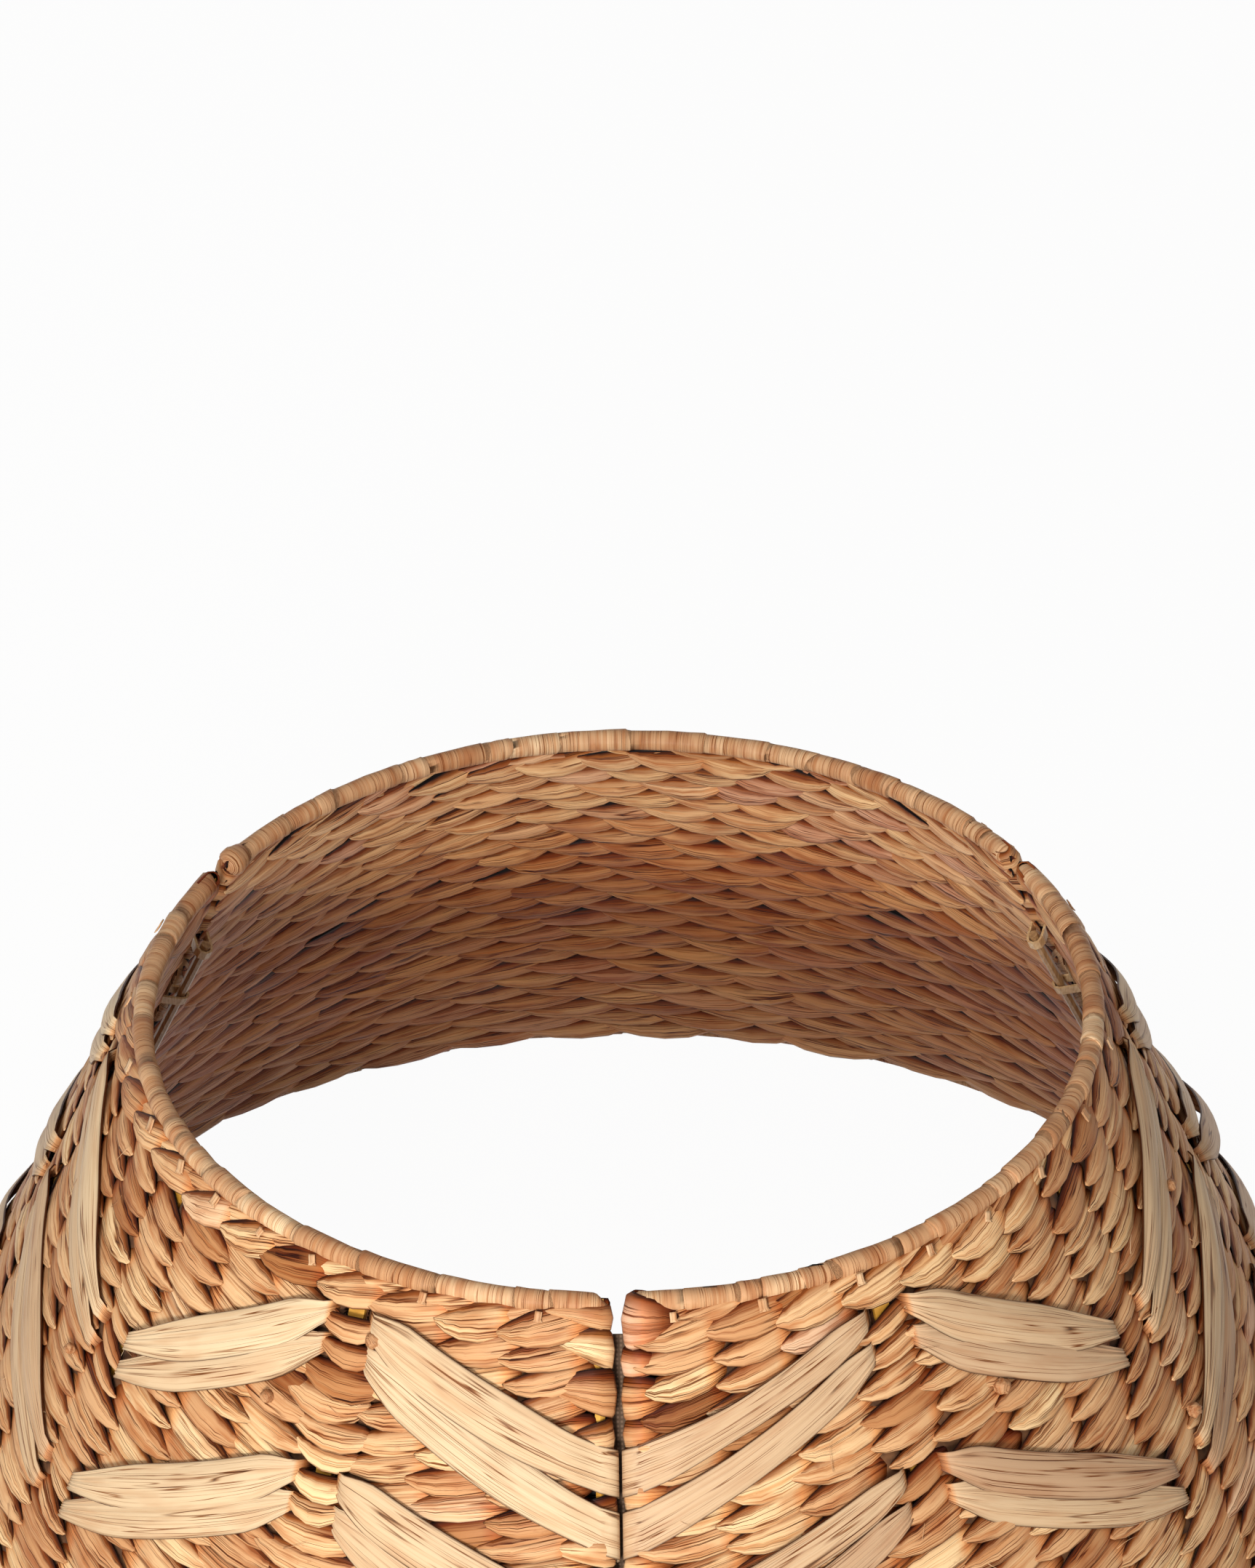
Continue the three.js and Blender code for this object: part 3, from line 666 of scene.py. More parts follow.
# %% Wind the end blocks
def wind_ends(panel, sense, azimuth, random):
    """The strips that turn round one end stake of a panel."""
    x, y, z = block_points.T
    all_points, all_fibre, all_leaf = [], [], []
    front = (panel, sense) in FRONT_ENDS
    levels = list(TOP_BLOCKS.get((panel, sense), FIRST_BLOCK))
    heights = FRONT_BLOCK_HEIGHT if front else BLOCK_HEIGHT
    while levels[-1] < LOWEST_STITCH:
        levels.append(min(levels[-1] + random.uniform(*heights), SLANT - 0.5))
    for upper, lower in zip(levels, levels[1:]):
        height = lower - upper
        middle = (upper + lower) / 2
        flat = under_strap(middle)
        bend = TOP_FRONT_BEND if upper < 0 and front else BLOCK_BEND
        depth = FRONT_BLOCK_DEPTH if front else BLOCK_DEPTH
        bulge = 0
        if flat:
            bend, depth = FLAT_BEND, FLAT_DEPTH
        if front:
            bulges = RIGHT_BULGE if sense > 0 else LEFT_BULGE
            bulge = FLAT_FRONT_BULGE if flat else random.uniform(*bulges)
        if upper < TOP_REACH:
            bulge = 0
        quarter = math.pi * bend / 2
        q = np.sign(x) * np.abs(x) ** 1.6 * (quarter + random.uniform(*BLOCK_TAIL))
        arc = np.clip(q, -quarter, quarter)
        sink = np.clip((np.abs(x) - 0.6) / 0.4, 0, 1) ** 1.5
        on_top = (x > 0) & ((panel, sense) == TIPS_ON_TOP)
        sink = sink * np.where(on_top, -TIP_LIFT, TAIL_DEPTH)
        fan = np.clip(1 - np.abs(x) ** 2.4, 0, 1) ** 0.7
        normal = z / np.maximum(leaf_width(np.clip(x, -0.999, 0.999)), 0.05) * depth * fan - sink
        across = fan * block_edge * (height / 2 + BLOCK_OVERLAP)
        rise = random.normal(*BLOCK_RISE) * np.sin(x * math.pi / 2)
        place_down = np.clip(middle - sense * across - rise, levels[0] - 0.1, SLANT - 0.3)
        closing = np.sqrt(1 - np.clip(-place_down / RIM_ROUND, 0, 0.98) ** 2)
        radius = (bend + normal) * closing
        out = radius * np.sin(arc / bend)
        side = STAKE_OFFSET - (radius + bulge * np.cos(arc / bend)) * np.cos(arc / bend) + np.abs(q - arc)
        turn = azimuth + beside_seam(side, place_down, out, sense)
        own = random.uniform(0, 900) * np.ones_like(x)
        tone = np.clip(random.normal(*BLOCK_TONE), 0.2, 1) * np.ones_like(x)
        # Painted shade towards the ends that go in and on the underside. A tip that lies on top takes
        # none
        hidden = np.maximum(np.where(on_top, 0, np.abs(x)), block_under)
        all_points.append(on_cone(place_down, out, turn))
        all_fibre.append(np.stack((q + own, block_edge * height / 2, own), axis=-1))
        # A block at the top reaches less of the painted shade at its edges
        edge = sense * block_edge * (0.7 if upper < TOP_REACH else 1)
        all_leaf.append(np.stack((edge, hidden, tone), axis=-1))
    return np.array(all_points), np.array(all_fibre), np.array(all_leaf)


# %% [markdown]
# ## The dark inside of the wall
#
# Between the two faces run the crossing strips, which hardly any light reaches. A dark layer stands
# for them. It is as thick as they are, but sinks behind the gold bars, so that they glint through the
# gaps in front.

# %% A finish and a layer for the crossing strips
crossing, crossing_tree, crossing_shader = new_material("crossed_strips_in_shadow")
place = add(crossing_tree, "TexCoord").outputs["Object"]
MOTTLE_MM = 6.25
mottled = {"Vector": place, "Scale": 1 / (MOTTLE_MM * MM), "Detail": 3.0}
mottle = add(crossing_tree, "TexNoise", mottled).outputs[0]
shadow = add(crossing_tree, "ValToRGB", {0: mottle}, [(0.3, "#3A2212"), (0.7, "#7A4E2C")]).outputs[0]
crossing_tree.links.new(shadow, crossing_shader.inputs["Base Color"])
crossing_shader.inputs["Roughness"].default_value = 0.9

LAYER_OUT = 2.2
LAYER_BEHIND_BAR = -1.3
LAYER_INSIDE = -2.2
LAYER_MARGIN = 3
BAR_HALF_ROOM = 6.5
BAR_HALF_CLEAR = 9


def crossing_layer(azimuth, steps=48, levels=9):
    """A closed sheet from end stake to end stake, thin behind the bars."""
    turns = list(np.linspace(0, PANEL_ANGLE, steps + 1))
    for bar in range(1, COLUMNS):
        for side in (-BAR_HALF_CLEAR, -BAR_HALF_ROOM, BAR_HALF_ROOM, BAR_HALF_CLEAR):
            turns.append(bar * COLUMN_ANGLE + side / radius_at(SLANT / 2))
    rings = []
    for turn in sorted(turns):
        nearest = min(abs(turn - bar * COLUMN_ANGLE) for bar in range(1, COLUMNS))
        behind = nearest * radius_at(SLANT / 2) < BAR_HALF_ROOM + 0.1
        outside = LAYER_BEHIND_BAR if behind else LAYER_OUT
        downs = np.linspace(LAYER_MARGIN, SLANT - LAYER_MARGIN, levels)
        downs = np.concatenate([downs, downs[::-1]])
        outs = np.repeat((outside, LAYER_INSIDE), levels)
        first = beside_seam(STAKE_OFFSET, downs, outs, 1)
        last = beside_seam(STAKE_OFFSET, downs, outs, -1)
        rings.append(on_cone(downs, outs, azimuth + np.clip(turn, first, last)))
    return np.array(rings[2:-2])


# %% Weave the three panels
weaves = {}
for seed, (panel, azimuth) in enumerate(PANELS.items(), 40):
    random = np.random.default_rng(seed)
    table = stitch_table(panel, random)
    parts = [lay_stitches(table, azimuth, random)]
    parts += [wind_ends(panel, sense, azimuth, random) for sense in (1, -1)]
    blocks = len(parts[1][0]) + len(parts[2][0])
    points, fibre, leaf = (np.concatenate([part[i].reshape(-1, 3) for part in parts]) for i in range(3))
    faces = copies(stitch_faces, len(stitch_points), len(table))
    faces += copies(block_faces, len(block_points), blocks, len(table) * len(stitch_points))
    layer = crossing_layer(azimuth)
    layer_faces = ring_faces(layer.shape[0], layer.shape[1], len(points))
    blank = np.zeros((layer.shape[0] * layer.shape[1], 3))
    weave = make_piece(
        f"{panel}_weave",
        np.concatenate([points, layer.reshape(-1, 3)]),
        faces + layer_faces,
        np.concatenate([fibre, blank]),
        np.concatenate([leaf, blank]),
        weave_leaf,
    )
    weave.data.materials.append(crossing)
    slots = np.zeros(len(weave.data.polygons), np.int32)
    slots[len(faces):] = 1
    weave.data.polygons.foreach_set("material_index", slots)
    face_outwards(weave)
    weaves[panel] = weave
    print(weave.name, triangles(weave), "triangles")

# %% [markdown]
# ## The wound rim and base
#
# The rods at the rim and the base are bound with fine strip, wound round and round. It goes on in
# short lengths, and each length starts over the end of the last one, which leaves a small step. The
# sleeve is a row of rings whose size swells along each length, with a slanting edge between them.

# %% Wind a rod
RING_POINTS = 14
BAND_SWELL = ((0.0, 0.0), (0.025, 0.42), (0.25, 0.3), (0.5, 0.2), (0.75, 0.05), (0.98, -0.05))
BAND_LENGTH = (10, 38)
DOME = ((-3.2, 0.3), (-2.6, 0.62), (-1.4, 0.88))
KNOB_LENGTH = 6
END_ROOM = 3


def wind_rod(name, down, azimuth, size, sides, random, knob=0):
    """A wound sleeve on the rim (down 0) or on the base. knob thickens its last end."""
    start, stop = sides[0], radius_at(down) * PANEL_ANGLE - sides[1]
    stations = []
    while start < stop - END_ROOM:
        band = min(random.uniform(*BAND_LENGTH), stop - start)
        looks = (random.uniform(0.1, 1), random.uniform(0, 900), random.normal(0, 1.8))
        thick = size + random.uniform(-0.25, 0.25)
        # The edge place runs across each length, so its end takes painted shade at the step
        for share, swell in BAND_SWELL:
            stations.append((start + share * band, thick + swell, 1.7 * share - 0.74, *looks))
        start += band
    first, last = stations[0], stations[-1]
    stations = [(first[0] + step, first[1] * share, 0, *first[3:]) for step, share in DOME] + stations
    stations += [(last[0] - step, last[1] * share, 0, *last[3:]) for step, share in reversed(DOME)]
    angles = np.arange(RING_POINTS) * 2 * math.pi / RING_POINTS
    points, fibre, leaf = [], [], []
    for x, thick, edge, tone, own, slant in stations:
        thick += knob * math.exp(-(((stop - END_ROOM - x) / KNOB_LENGTH) ** 2)) * thick / size
        lumpy = thick * (1 + 0.03 * np.sin(3 * angles + x))
        along = x + slant * np.sin(angles + own)
        outs = lumpy * np.sin(angles)
        downs = down + lumpy * np.cos(angles)
        points.append(on_cone(downs, outs, azimuth + along / radius_at(down)))
        fibre.append(np.stack((angles * thick + own, along, own + 0 * angles), axis=-1))
        leaf.append(np.stack((edge + 0 * angles, 0 * angles, tone + 0 * angles), axis=-1))
    piece = make_piece(
        name,
        np.array(points),
        ring_faces(len(stations), RING_POINTS),
        np.array(fibre),
        np.array(leaf),
        wound_leaf,
    )
    face_outwards(piece)
    return piece


# %% Wind the rims and the bases
RIM_SIZE = 4.75
BASE_SIZE = 4.0
KNOB = 2.6
RIM_SIDE = 7.7
LEFT_RIM_LAST_SIDE = 9
BASE_SIDE = 14

wraps = []
for seed, (panel, azimuth) in enumerate(PANELS.items(), 70):
    random = np.random.default_rng(seed)
    knob = KNOB if panel == "back" else 0
    sides = (RIM_SIDE, LEFT_RIM_LAST_SIDE if panel == "left" else RIM_SIDE)
    rim = wind_rod(f"{panel}_wound_rim", 0, azimuth, RIM_SIZE, sides, random, knob)
    base = wind_rod(f"{panel}_wound_base", SLANT, azimuth, BASE_SIZE, (BASE_SIDE, BASE_SIDE), random)
    wraps.append((rim, panel, f"{panel}_rim_wrap"))
    wraps.append((base, panel, f"{panel}_base_wrap"))
    print(rim.name, triangles(rim), base.name, triangles(base))

# %% [markdown]
# ## The leaf straps
#
# Over the rows lie whole flat leaves in pairs, in zigzag. Each is gathered where it goes in behind a
# gold bar, so its pleats run out from there like a fan, and it is broad in between. At the seams it
# turns round the panel's end. A leaf is a long thin sleeve with many points across: the pleats get
# deeper as the leaf gets narrower, because it keeps its cloth.

# %% Sizes of a strap
STRAP_POINTS = 25
STRAP_STEPS = 26
STRAP_WIDTH = 24
NARROW_STRAP_WIDTH = 17
NECK_WIDTH = 6.5
STRAP_THICKNESS = 0.7
STRAP_OUT = 6.9
STRAP_OVER = 8.1
STRAP_BEHIND = -1.9
NECK_SIDE = 4.2
TUCK_END = 13
PEAK_FAN = 28
VALLEY_FAN = 50
PROUD_LEAF = ("right", COLUMNS - 1, "strap_2_lower")
PROUD_ARCH = 6
TURN_OUT = 5.9
TURN_REACH = 5.8
FRONT_TURN_REACH = 7.9


def smooth(value):
    """0 up to 0, 1 from 1 on, with a soft rise between them."""
    value = np.clip(value, 0, 1)
    return value * value * (3 - 2 * value)


def strap_width(panel, column):
    """The leaves beside the front seam are narrower on the right panel."""
    return NARROW_STRAP_WIDTH if (panel, column) == ("right", 0) else STRAP_WIDTH


def leaf_stations(panel, strap, column, random):
    """Places along one leaf: along, down, out and half width. Last, the length from column to column."""
    ends = []
    for c in (column, column + 1):
        at_seam = c in (0, COLUMNS)
        ends.append(strap["seam"] if at_seam else strap["peak" if c % 2 else "valley"])
    middle = (ends[0] + ends[1]) / 2
    run = radius_at(middle) * COLUMN_ANGLE
    spread = (1 - np.cos(np.linspace(0, math.pi, STRAP_STEPS))) / 2
    share = 0.5 * spread + 0.5 * np.linspace(0, 1, STRAP_STEPS)
    level = STRAP_OVER if strap["upper"] else STRAP_OUT
    widest = strap_width(panel, column) * random.uniform(0.94, 1.06)
    first_seam = column == 0
    last_seam = column == COLUMNS - 1
    from_side = STAKE_OFFSET if first_seam else NECK_SIDE
    to_side = STAKE_OFFSET if last_seam else NECK_SIDE
    along = from_side + (run - from_side - to_side) * share
    down = ends[0] + (ends[1] - ends[0]) * share
    half = np.full(STRAP_STEPS, widest / 2)
    arch = PROUD_ARCH if (panel, column, strap["name"]) == PROUD_LEAF else random.uniform(0, 1.2)
    out = level + arch * np.sin(math.pi * share)
    first_fan, last_fan = (PEAK_FAN, VALLEY_FAN) if column % 2 else (VALLEY_FAN, PEAK_FAN)
    sides = ((along, first_seam, first_fan), (run - along, last_seam, last_fan))
    for distance, at_seam, fan in sides:
        if at_seam:
            half += (STRAP_END_WIDTH / 2 - widest / 2) * (1 - smooth((distance - 8) / 40))
            seam_level = END_RADIUS - 0.5
            out += (seam_level - level) * (1 - smooth((distance - STAKE_OFFSET) / 14))
        else:
            gather = 1 - smooth((distance - NECK_SIDE) / fan) ** 0.8
            half += (NECK_WIDTH / 2 - widest / 2) * gather
            out += (STRAP_BEHIND - level) * (1 - smooth((distance - NECK_SIDE) / (TUCK_END - NECK_SIDE)))
    return along, down, out, half, run


# %% Turn a strap's end round the end stake
def round_stations(strap, front):
    """Places along the stretch that turns round a panel's end: side, down, out, half width."""
    reach = FRONT_TURN_REACH if front else TURN_REACH
    turns = np.radians([150, 125, 100, 75, 50, 25])
    side = STAKE_OFFSET - reach * np.sin(turns)
    out = TURN_OUT * np.cos(turns)
    half = np.full(len(turns), STRAP_END_WIDTH / 2)
    half[0] *= 0.8
    slope = (strap["seam"] - strap["peak"]) / (radius_at(strap["seam"]) * COLUMN_ANGLE)
    down = strap["seam"] + slope * TURN_OUT * turns
    return list(enumerate(zip(side, down, out, half)))


def pleats(edge, half, phase):
    """Height of the pleats, in millimetres, deeper where the leaf is gathered."""
    gathered = 1 - half / (STRAP_WIDTH / 2)
    height = 0.08 + 1.1 * np.clip(gathered, 0, 1)
    folds = np.abs(np.sin(2.5 * math.pi * (edge + 0.13 * np.sin(3 * edge + phase)) + phase))
    return height * (folds - 0.5)


# %% Build a strap
STRAP_TONE = {"right": 0.38, "back": 0.5, "left": 0.72}
STRAP_TONE_SPREAD = 0.12
# Millimetres of leaf round a panel's end, and from one ring to the next
TURN_LENGTH = 20
TURN_STEP = 3
LIFT_LENGTH = 22
# The fibres across a leaf are those of this half width, however narrow it is gathered
FIBRE_HALF_WIDTH = 11


def make_strap(panel, strap, azimuth, random):
    """One leaf strap of a panel, from seam to seam."""
    edges = np.linspace(-1, 1, STRAP_POINTS)
    rings, fibres, leaves = [], [], []
    phase = random.uniform(0, 6)

    def turns_of(place, downs, outs):
        """Azimuths. place is an azimuth, or a distance from a seam and the sense of that seam."""
        if isinstance(place, tuple):
            return azimuth + beside_seam(place[0], downs, outs, place[1])
        return np.full(STRAP_POINTS, place)

    def add_ring(down, out, half, place, along, tuck_shade, looks, lift=0.0):
        """One ring: the upper face from edge to edge, then the under face back."""
        tone, own = looks
        crown = lift * (0.9 - 1.5 * edges ** 2 * (half / FIBRE_HALF_WIDTH) ** 2)
        wave = 0.5 * np.sin(along / 13 + phase + 1.3 * edges) * min(half / 10, 1)
        face = out + (crown + wave) * min(half / 10, 1) * lift + pleats(edges, half, phase)
        under = face - STRAP_THICKNESS
        downs = down + edges * half
        upper_points = on_cone(downs, face, turns_of(place, downs, face))
        under_points = on_cone(downs, under, turns_of(place, downs, under))
        fibre = np.stack(np.broadcast_arrays(along + own, edges * FIBRE_HALF_WIDTH, own), axis=-1)
        leaf = np.stack(np.broadcast_arrays(edges, tuck_shade, tone), axis=-1)
        rings.append(np.concatenate((upper_points, under_points[::-1])))
        fibres.append(np.concatenate((fibre, fibre[::-1])))
        leaves.append(np.concatenate((leaf, leaf[::-1])))

    for column in range(COLUMNS):
        tone = np.clip(STRAP_TONE[panel] + random.normal(0, STRAP_TONE_SPREAD), 0, 1)
        looks = (tone, random.uniform(0, 900))
        along, down, out, half, run = leaf_stations(panel, strap, column, random)
        if column == 0:
            for i, (side, *station) in round_stations(strap, panel == "right"):
                add_ring(*station, (side, 1), TURN_STEP * i - TURN_LENGTH, 0, looks)
        for i in range(STRAP_STEPS):
            turn = azimuth + column * COLUMN_ANGLE + along[i] / run * COLUMN_ANGLE
            nearest = min(
                along[i] if column else math.inf,
                run - along[i] if column < COLUMNS - 1 else math.inf,
            )
            # Painted shade where the leaf goes in behind a bar
            tuck_shade = 1 - smooth((nearest - NECK_SIDE - 2) / 9)
            lift = smooth(min(along[i], run - along[i]) / LIFT_LENGTH)
            add_ring(down[i], out[i], half[i], turn, along[i], tuck_shade, looks, lift)
        if column == COLUMNS - 1:
            for i, (side, *station) in reversed(round_stations(strap, panel == "left")):
                add_ring(*station, (side, -1), run + TURN_LENGTH - TURN_STEP * i, 0, looks)
    piece = make_piece(
        f"{panel}_{strap['name']}_leaf",
        np.array(rings),
        ring_faces(len(rings), 2 * STRAP_POINTS),
        np.array(fibres),
        np.array(leaves),
        strap_leaf,
    )
    face_outwards(piece)
    return piece


strap_pieces = []
for seed, (panel, azimuth) in enumerate(PANELS.items(), 100):
    random = np.random.default_rng(seed)
    for strap in straps:
        piece = make_strap(panel, strap, azimuth, random)
        strap_pieces.append((piece, panel, f"{panel}_{strap['name']}"))
print(len(strap_pieces), "straps of", triangles(strap_pieces[0][0]), "triangles each")

# %% [markdown]
# ## Binders, knots and loose fibres
#
# Short tabs of leaf bind the rim to the first row. Where a strip ran out, its end was rolled into a
# small brown knot, and here and there a fibre has split off. A tab is a thin block that is cut up,
# flared and lifted at its free end. A knot is a dented ball. Both are modelled once and copied.

# %% Model a tab and a knot
TAB_SIZE = (3.6, 5.6, 0.7)
KNOT_SIZE = 3.0

bpy.ops.object.select_all(action="DESELECT")
bpy.ops.mesh.primitive_cube_add(size=1)
tab = bpy.context.object
bpy.ops.object.mode_set(mode="EDIT")
bpy.ops.mesh.subdivide(number_cuts=3)
bpy.ops.transform.resize(value=TAB_SIZE)
tab_shape = bmesh.from_edit_mesh(tab.data)
for vertex in tab_shape.verts:
    vertex.select = vertex.co.y < -TAB_SIZE[1] / 2 + 0.1
tab_shape.select_flush_mode()
bpy.ops.transform.resize(value=(1.3, 1, 0.6), center_override=(0, -TAB_SIZE[1] / 2, 0))
bpy.ops.transform.translate(value=(0.4, 0, 0.5))
bpy.ops.object.mode_set(mode="OBJECT")
tab_points, tab_faces = mesh_points(tab)

bpy.ops.mesh.primitive_ico_sphere_add(subdivisions=3, radius=KNOT_SIZE)
knot = bpy.context.object
dents = knot.modifiers.new("dents", "DISPLACE")
dents.texture = bpy.data.textures.new("dents", "CLOUDS")
dents.texture.noise_scale = 1.6
dents.strength = 2.2
bpy.ops.object.modifier_apply(modifier=dents.name)
knot_points, knot_faces = mesh_points(knot)
print("tab:", len(tab_faces), "faces; knot:", len(knot_faces), "faces")

# %% Where they are, in degrees from the panel's first seam and millimetres down
TAB_PLACES = {
    "right": (6, 16, 27.6, 37, 45.8, 56, 68, 82, 97, 110),
    "back": (9, 22, 37, 51, 66, 79, 92, 106),
    "left": (12, 27, 40, 51.7, 60.5, 68, 75.9, 83.8, 98, 111.2),
}
TAB_DOWN, TAB_OUT = 5.6, 6.1
KNOT_PLACES = {
    "right": ((40.5, 76.6), (77.5, 75.5), (63, 152), (18, 206)),
    "back": ((34, 60), (71, 140), (98, 88), (52, 221)),
    "left": ((93.4, 29.3), (82.7, 71), (55, 118), (104, 190)),
}
KNOT_OUT = 7.4
KNOT_TONE = 0.05
LOOSE_FIBRES = 46
FIBRE_OUT = 7.2
FIBRE_RADIUS = 0.17
FIBRE_LENGTH = (5, 13)


# %% Put them on, and split some fibres off
def put_on(points, azimuth, degrees, down, out, turn, size):
    """A copy of some points, turned on the surface and set down in its place."""
    x, y, z = size * points.T
    along = x * math.cos(turn) - y * math.sin(turn)
    up = x * math.sin(turn) + y * math.cos(turn)
    return on_cone(down - up, out + z, azimuth + math.radians(degrees) + along / radius_at(down))


def loose_fibre(azimuth, random):
    """Four small rings along a thin bent fibre."""
    down = random.uniform(14, SLANT - 8)
    degrees = math.degrees(random.uniform(0.04, 0.96) * PANEL_ANGLE)
    turn = random.normal(0, 0.7)
    length = random.uniform(*FIBRE_LENGTH)
    steps = np.linspace(0, 1, 4)
    lines = np.stack((length * steps, random.normal(0, 1.5) * steps ** 2, 1.8 * steps ** 2), axis=-1)
    corners = FIBRE_RADIUS * np.array([(0, 1, 0), (0, -0.5, 0.87), (0, -0.5, -0.87)])
    rings = (lines[:, None] + corners * (1.2 - 0.7 * steps)[:, None, None]).reshape(-1, 3)
    return put_on(rings, azimuth, degrees, down, FIBRE_OUT, turn, 1)


def list_trims(panel, azimuth, random):
    """Points, faces, grain places and tone of each tab, knot and loose fibre of a panel."""
    parts = []
    for degrees in TAB_PLACES[panel]:
        turn, size = random.normal(0, 0.25), random.uniform(0.75, 1.1)
        placed = put_on(tab_points, azimuth, degrees, TAB_DOWN, TAB_OUT, turn, size)
        parts.append((placed, tab_faces, tab_points[:, [1, 0, 2]], random.uniform(0.6, 0.9)))
    for degrees, down in KNOT_PLACES[panel]:
        turn, size = random.uniform(0, 6), random.uniform(0.8, 1.25)
        placed = put_on(knot_points, azimuth, degrees, down, KNOT_OUT, turn, size)
        parts.append((placed, knot_faces, knot_points, KNOT_TONE))
    for _ in range(LOOSE_FIBRES):
        placed = loose_fibre(azimuth, random)
        parts.append((placed, ring_faces(4, 3), 0 * placed, random.uniform(0.5, 1)))
    return parts


# %% Join the trims of each panel
trims = []
for seed, (panel, azimuth) in enumerate(PANELS.items(), 130):
    parts = list_trims(panel, azimuth, np.random.default_rng(seed))
    faces, grains, tones = [], [], []
    for number, (placed, part_faces, grain, tone) in enumerate(parts, 1):
        faces += copies(part_faces, len(placed), 1, len(tones))
        grains.append(grain + 9 * number)
        tones += [(0, 0, tone)] * len(placed)
    points = np.concatenate([part[0] for part in parts])
    trim = make_piece(f"{panel}_binders", points, faces, np.concatenate(grains), tones, wound_leaf)
    face_outwards(trim)
    trims.append((trim, panel))
    print(trim.name, triangles(trim), "triangles")

# %% [markdown]
# ## Gold paint, cane and tape
#
# The frame is mild steel with a satin gold paint: smooth, a little lumpy, yellow rather than brown.
# The hinge rods and loops are pale split cane, hard and slightly glossy, with the grain along them.
# The rods lie deep in the seams, and their cane is painted darker there: a painted shade.
# The tape behind the front seam is dark woven cotton.

# %% Gold painted steel
LUMP_MM = 11.11
gold, gold_tree, gold_shader = new_material("gold_painted_steel")
place = add(gold_tree, "TexCoord").outputs["Object"]
lumpy = {"Vector": place, "Scale": 1 / (LUMP_MM * MM), "Detail": 4.0}
lumps = add(gold_tree, "TexNoise", lumpy).outputs[0]
coats = [(0.3, "#C88A2C"), (0.5, "#E2A440"), (0.75, "#EEB854")]
coat = add(gold_tree, "ValToRGB", {0: lumps}, coats).outputs[0]
set_surface(gold_tree, gold_shader, coat, lumps, 0.4, 0.2, 0.42)
gold_shader.inputs["Metallic"].default_value = 0.3
print("paint:", gold.name)

# %% Split cane
# Width and length of the cane's grain
GRAIN_WIDTH_MM = 1.111
GRAIN_LENGTH_MM = 11.11


def cane_finish(name, tones):
    """Split cane, with its grain upright."""
    material, tree, shader = new_material(name)
    place = add(tree, "TexCoord").outputs["Object"]
    across, along = 1 / (GRAIN_WIDTH_MM * MM), 1 / (GRAIN_LENGTH_MM * MM)
    stretch = {0: place, 1: (across, across, along)}
    long_grain = add(tree, "VectorMath", stretch, operation="MULTIPLY").outputs[0]
    grain = add(tree, "TexNoise", {"Vector": long_grain, "Scale": 1.0, "Detail": 3.0}).outputs[0]
    skin = add(tree, "ValToRGB", {0: grain}, tones).outputs[0]
    set_surface(tree, shader, skin, grain, 0.5, 0.15, 0.4)
    return material


cane = cane_finish("split_cane", [(0.3, "#B68C5C"), (0.5, "#CFA878"), (0.7, "#E0C294")])
# The same cane, painted darker for the shade that falls on the rods deep in the seams
cane_in_painted_shade = cane_finish("cane_in_painted_shade", [(0.3, "#8A6540"), (0.5, "#A67E52"), (0.7, "#BC966A")])
print("cane:", cane.name, cane_in_painted_shade.name)

# %% Dark cotton tape
# The threads of a coarse cotton tape lie nearly a millimetre apart
THREAD_MM = 0.888
# A wave spans two threads. At scale 1 the texture has 20 radians of wave in a metre
wave_scale = 2 * math.pi / 20 / (2 * THREAD_MM * MM)
cotton, cotton_tree, cotton_shader = new_material("dark_cotton_tape")
place = add(cotton_tree, "TexCoord").outputs["Object"]
threads = {"Vector": place, "Scale": wave_scale, "Distortion": 0.4}
warp = add(cotton_tree, "TexWave", threads, bands_direction="X").outputs[1]
weft = add(cotton_tree, "TexWave", threads, bands_direction="Z").outputs[1]
cloth = add(cotton_tree, "Math", {0: warp, 1: weft}, operation="MULTIPLY").outputs[0]
dye = add(cotton_tree, "ValToRGB", {0: cloth}, [(0.0, "#54402F"), (1.0, "#7E6450")]).outputs[0]
set_surface(cotton_tree, cotton_shader, dye, cloth, 0.6, 0.3, 0.95)
print("tape:", cotton.name)

# %% Cut the closing tape
TAPE_FROM, TAPE_TO = -13.5, 5.2
TAPE_TOP, TAPE_FOOT = 15, SLANT - 12
TAPE_OUT = -6.9
TAPE_THICKNESS = 1.0

bpy.ops.mesh.primitive_grid_add(x_subdivisions=6, y_subdivisions=60, size=1)
tape = bpy.context.object
tape.name = "closing_tape"
bpy.ops.object.mode_set(mode="EDIT")
bpy.ops.transform.resize(value=(MM * (TAPE_TO - TAPE_FROM), MM * (TAPE_FOOT - TAPE_TOP), 1))
# With no window open, rotate turns the other way, so the minus sign raises the tape's far end
bpy.ops.transform.rotate(value=-math.atan2(STEEP, FLARE), orient_axis="X", center_override=(0, 0, 0))
middle = on_cone((TAPE_TOP + TAPE_FOOT) / 2, TAPE_OUT, 0)
bpy.ops.transform.translate(value=(MM * (TAPE_FROM + TAPE_TO) / 2, middle[1], middle[2]))
bpy.ops.object.mode_set(mode="OBJECT")
thicken = tape.modifiers.new("thickness", "SOLIDIFY")
thicken.thickness = TAPE_THICKNESS * MM
thicken.offset = 0
bpy.ops.object.modifier_apply(modifier=thicken.name)
tape.data.materials.append(cotton)
face_outwards(tape)
top_point = max((vertex.co for vertex in tape.data.vertices), key=lambda co: co.z)
print("top of the tape, mm:", [round(1000 * c, 1) for c in top_point])

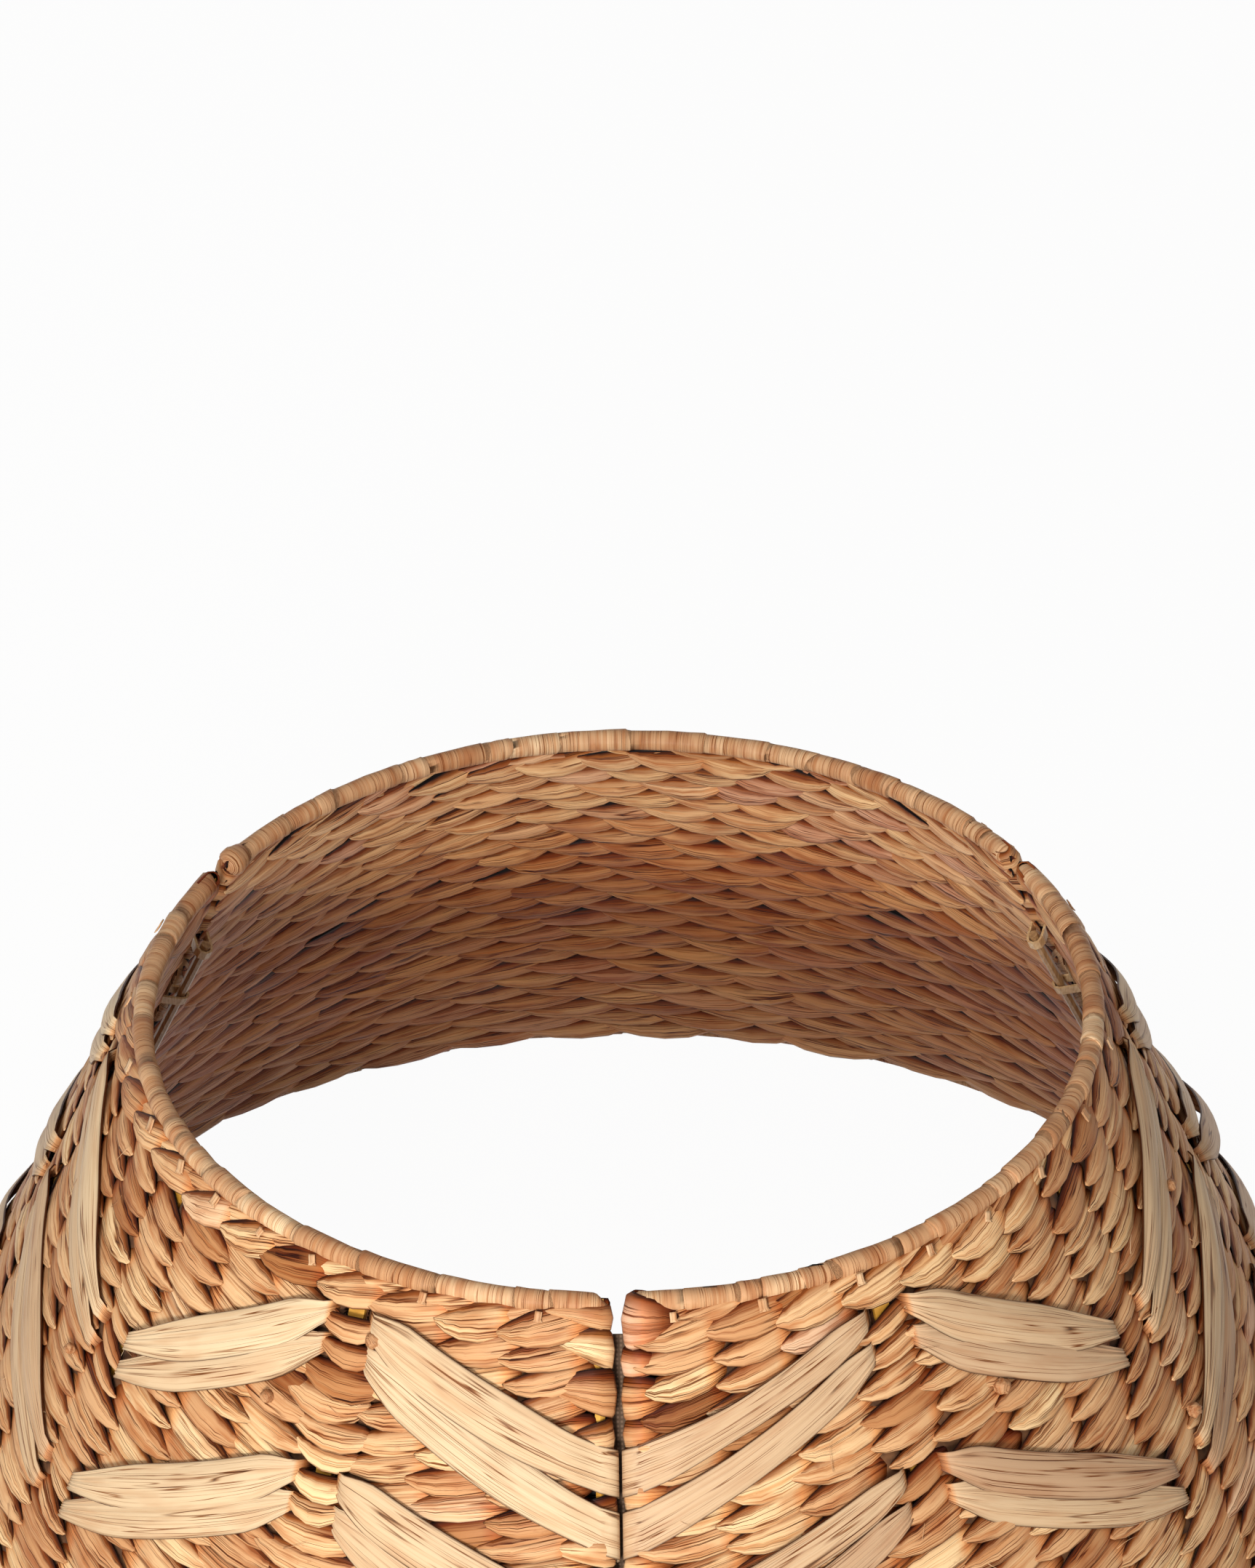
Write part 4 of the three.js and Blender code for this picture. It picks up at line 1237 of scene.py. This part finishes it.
# %% Give the frame's own pieces their finish
finishes = {"_frame": gold, "_loop": cane, "_rod": cane_in_painted_shade}
for name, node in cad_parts.items():
    for ending, finish in finishes.items():
        if name.endswith(ending):
            for holder in node.material_slots:
                holder.material = finish
print("painted:", sorted(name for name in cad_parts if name.endswith(tuple(finishes))))

# %% [markdown]
# ## Which body carries each piece
#
# Each panel is one moving body. Every piece rides on its panel and stands for the plain solid that it
# covers. The tabs, knots and loose fibres stand for no solid.

# %% Join the pieces to the frame
for panel, weave in weaves.items():
    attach(weave, f"{panel}_panel")
    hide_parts(f"{panel}_woven_wall")
for piece, panel, node in wraps:
    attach(piece, f"{panel}_panel")
    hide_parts(node)
for piece, panel, node in strap_pieces:
    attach(piece, f"{panel}_panel")
    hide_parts(node)
for trim, panel in trims:
    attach(trim, f"{panel}_panel")
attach(tape, "left_panel")
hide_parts("front_closing_tape")

# %% [markdown]
# ## Floor and light
#
# The collar was photographed against pure white. The floor is white paper that shows its own white to
# the camera, in a gloss and through anything clear, and keeps a faint shadow. The light that it throws
# back is a little warm. One soft lamp stands high in front, to the left. A second one stands low: its
# light goes in over the front rim and ends halfway down the inside of the back wall.

# %% Find the rays that show the background
def background_rays(tree):
    """1 for a ray that shows the background: from the camera, off a gloss or through something clear."""
    rays = add(tree, "LightPath").outputs
    seen = add(tree, "Math", {0: rays["Is Camera Ray"], 1: rays["Is Glossy Ray"]}, operation="MAXIMUM")
    shown = {0: seen.outputs[0], 1: rays["Is Transmission Ray"]}
    return add(tree, "Math", shown, operation="MAXIMUM").outputs[0]


# %% The floor
# The share of the floor's look that is its own white. The rest is lit, and keeps the shadow
OWN_WHITE = 0.96
bpy.ops.object.select_all(action="DESELECT")
bpy.ops.mesh.primitive_plane_add(size=14, location=(0, 0, 0))
floor = bpy.context.object
floor.name = "floor"
paper, paper_tree, paper_shader = new_material("white_paper")
paper_tree.nodes.remove(paper_shader)
dull = add(paper_tree, "BsdfDiffuse", {"Color": linear("#F0EAE1")})
white = add(paper_tree, "Emission", {"Color": WHITE, "Strength": 1.0})
seen = add(paper_tree, "Math", {0: background_rays(paper_tree), 1: OWN_WHITE}, operation="MULTIPLY")
sheet = add(paper_tree, "MixShader", {0: seen.outputs[0], 1: dull.outputs[0], 2: white.outputs[0]})
paper_tree.links.new(sheet.outputs[0], paper_tree.nodes["Material Output"].inputs["Surface"])
floor.data.materials.append(paper)
print("floor:", floor.name, "of", paper.name)

# %% The light
SKY_LEVEL = 0.33
world = bpy.data.worlds.new("studio")
world.use_nodes = True
bpy.context.scene.world = world
sky = world.node_tree.nodes["Background"]
levels = {"Value": background_rays(world.node_tree), "To Min": SKY_LEVEL, "To Max": 1.0}
brightness = add(world.node_tree, "MapRange", levels)
sky.inputs["Color"].default_value = WHITE
world.node_tree.links.new(brightness.outputs[0], sky.inputs["Strength"])

LAMP_AIM = Vector((0, 0, 0.12))
LAMPS = {
    "high_lamp": ((-0.9, -2.2, 2.8), 1.1, 35),
    "low_lamp": ((-0.6, -2.85, 0.88), 0.75, 71),
}
for name, (place, size, watts) in LAMPS.items():
    bpy.ops.object.light_add(type="AREA", location=place)
    lamp = bpy.context.object
    lamp.name = name
    lamp.data.shape = "DISK"
    lamp.data.size = size
    lamp.data.energy = watts
    lamp.rotation_mode = "QUATERNION"
    lamp.rotation_quaternion = (LAMP_AIM - lamp.location).to_track_quat("-Z", "Y")
bpy.context.scene.view_settings.view_transform = "Standard"
print("lamps:", {name: lamp[2] for name, lamp in LAMPS.items()}, "W")
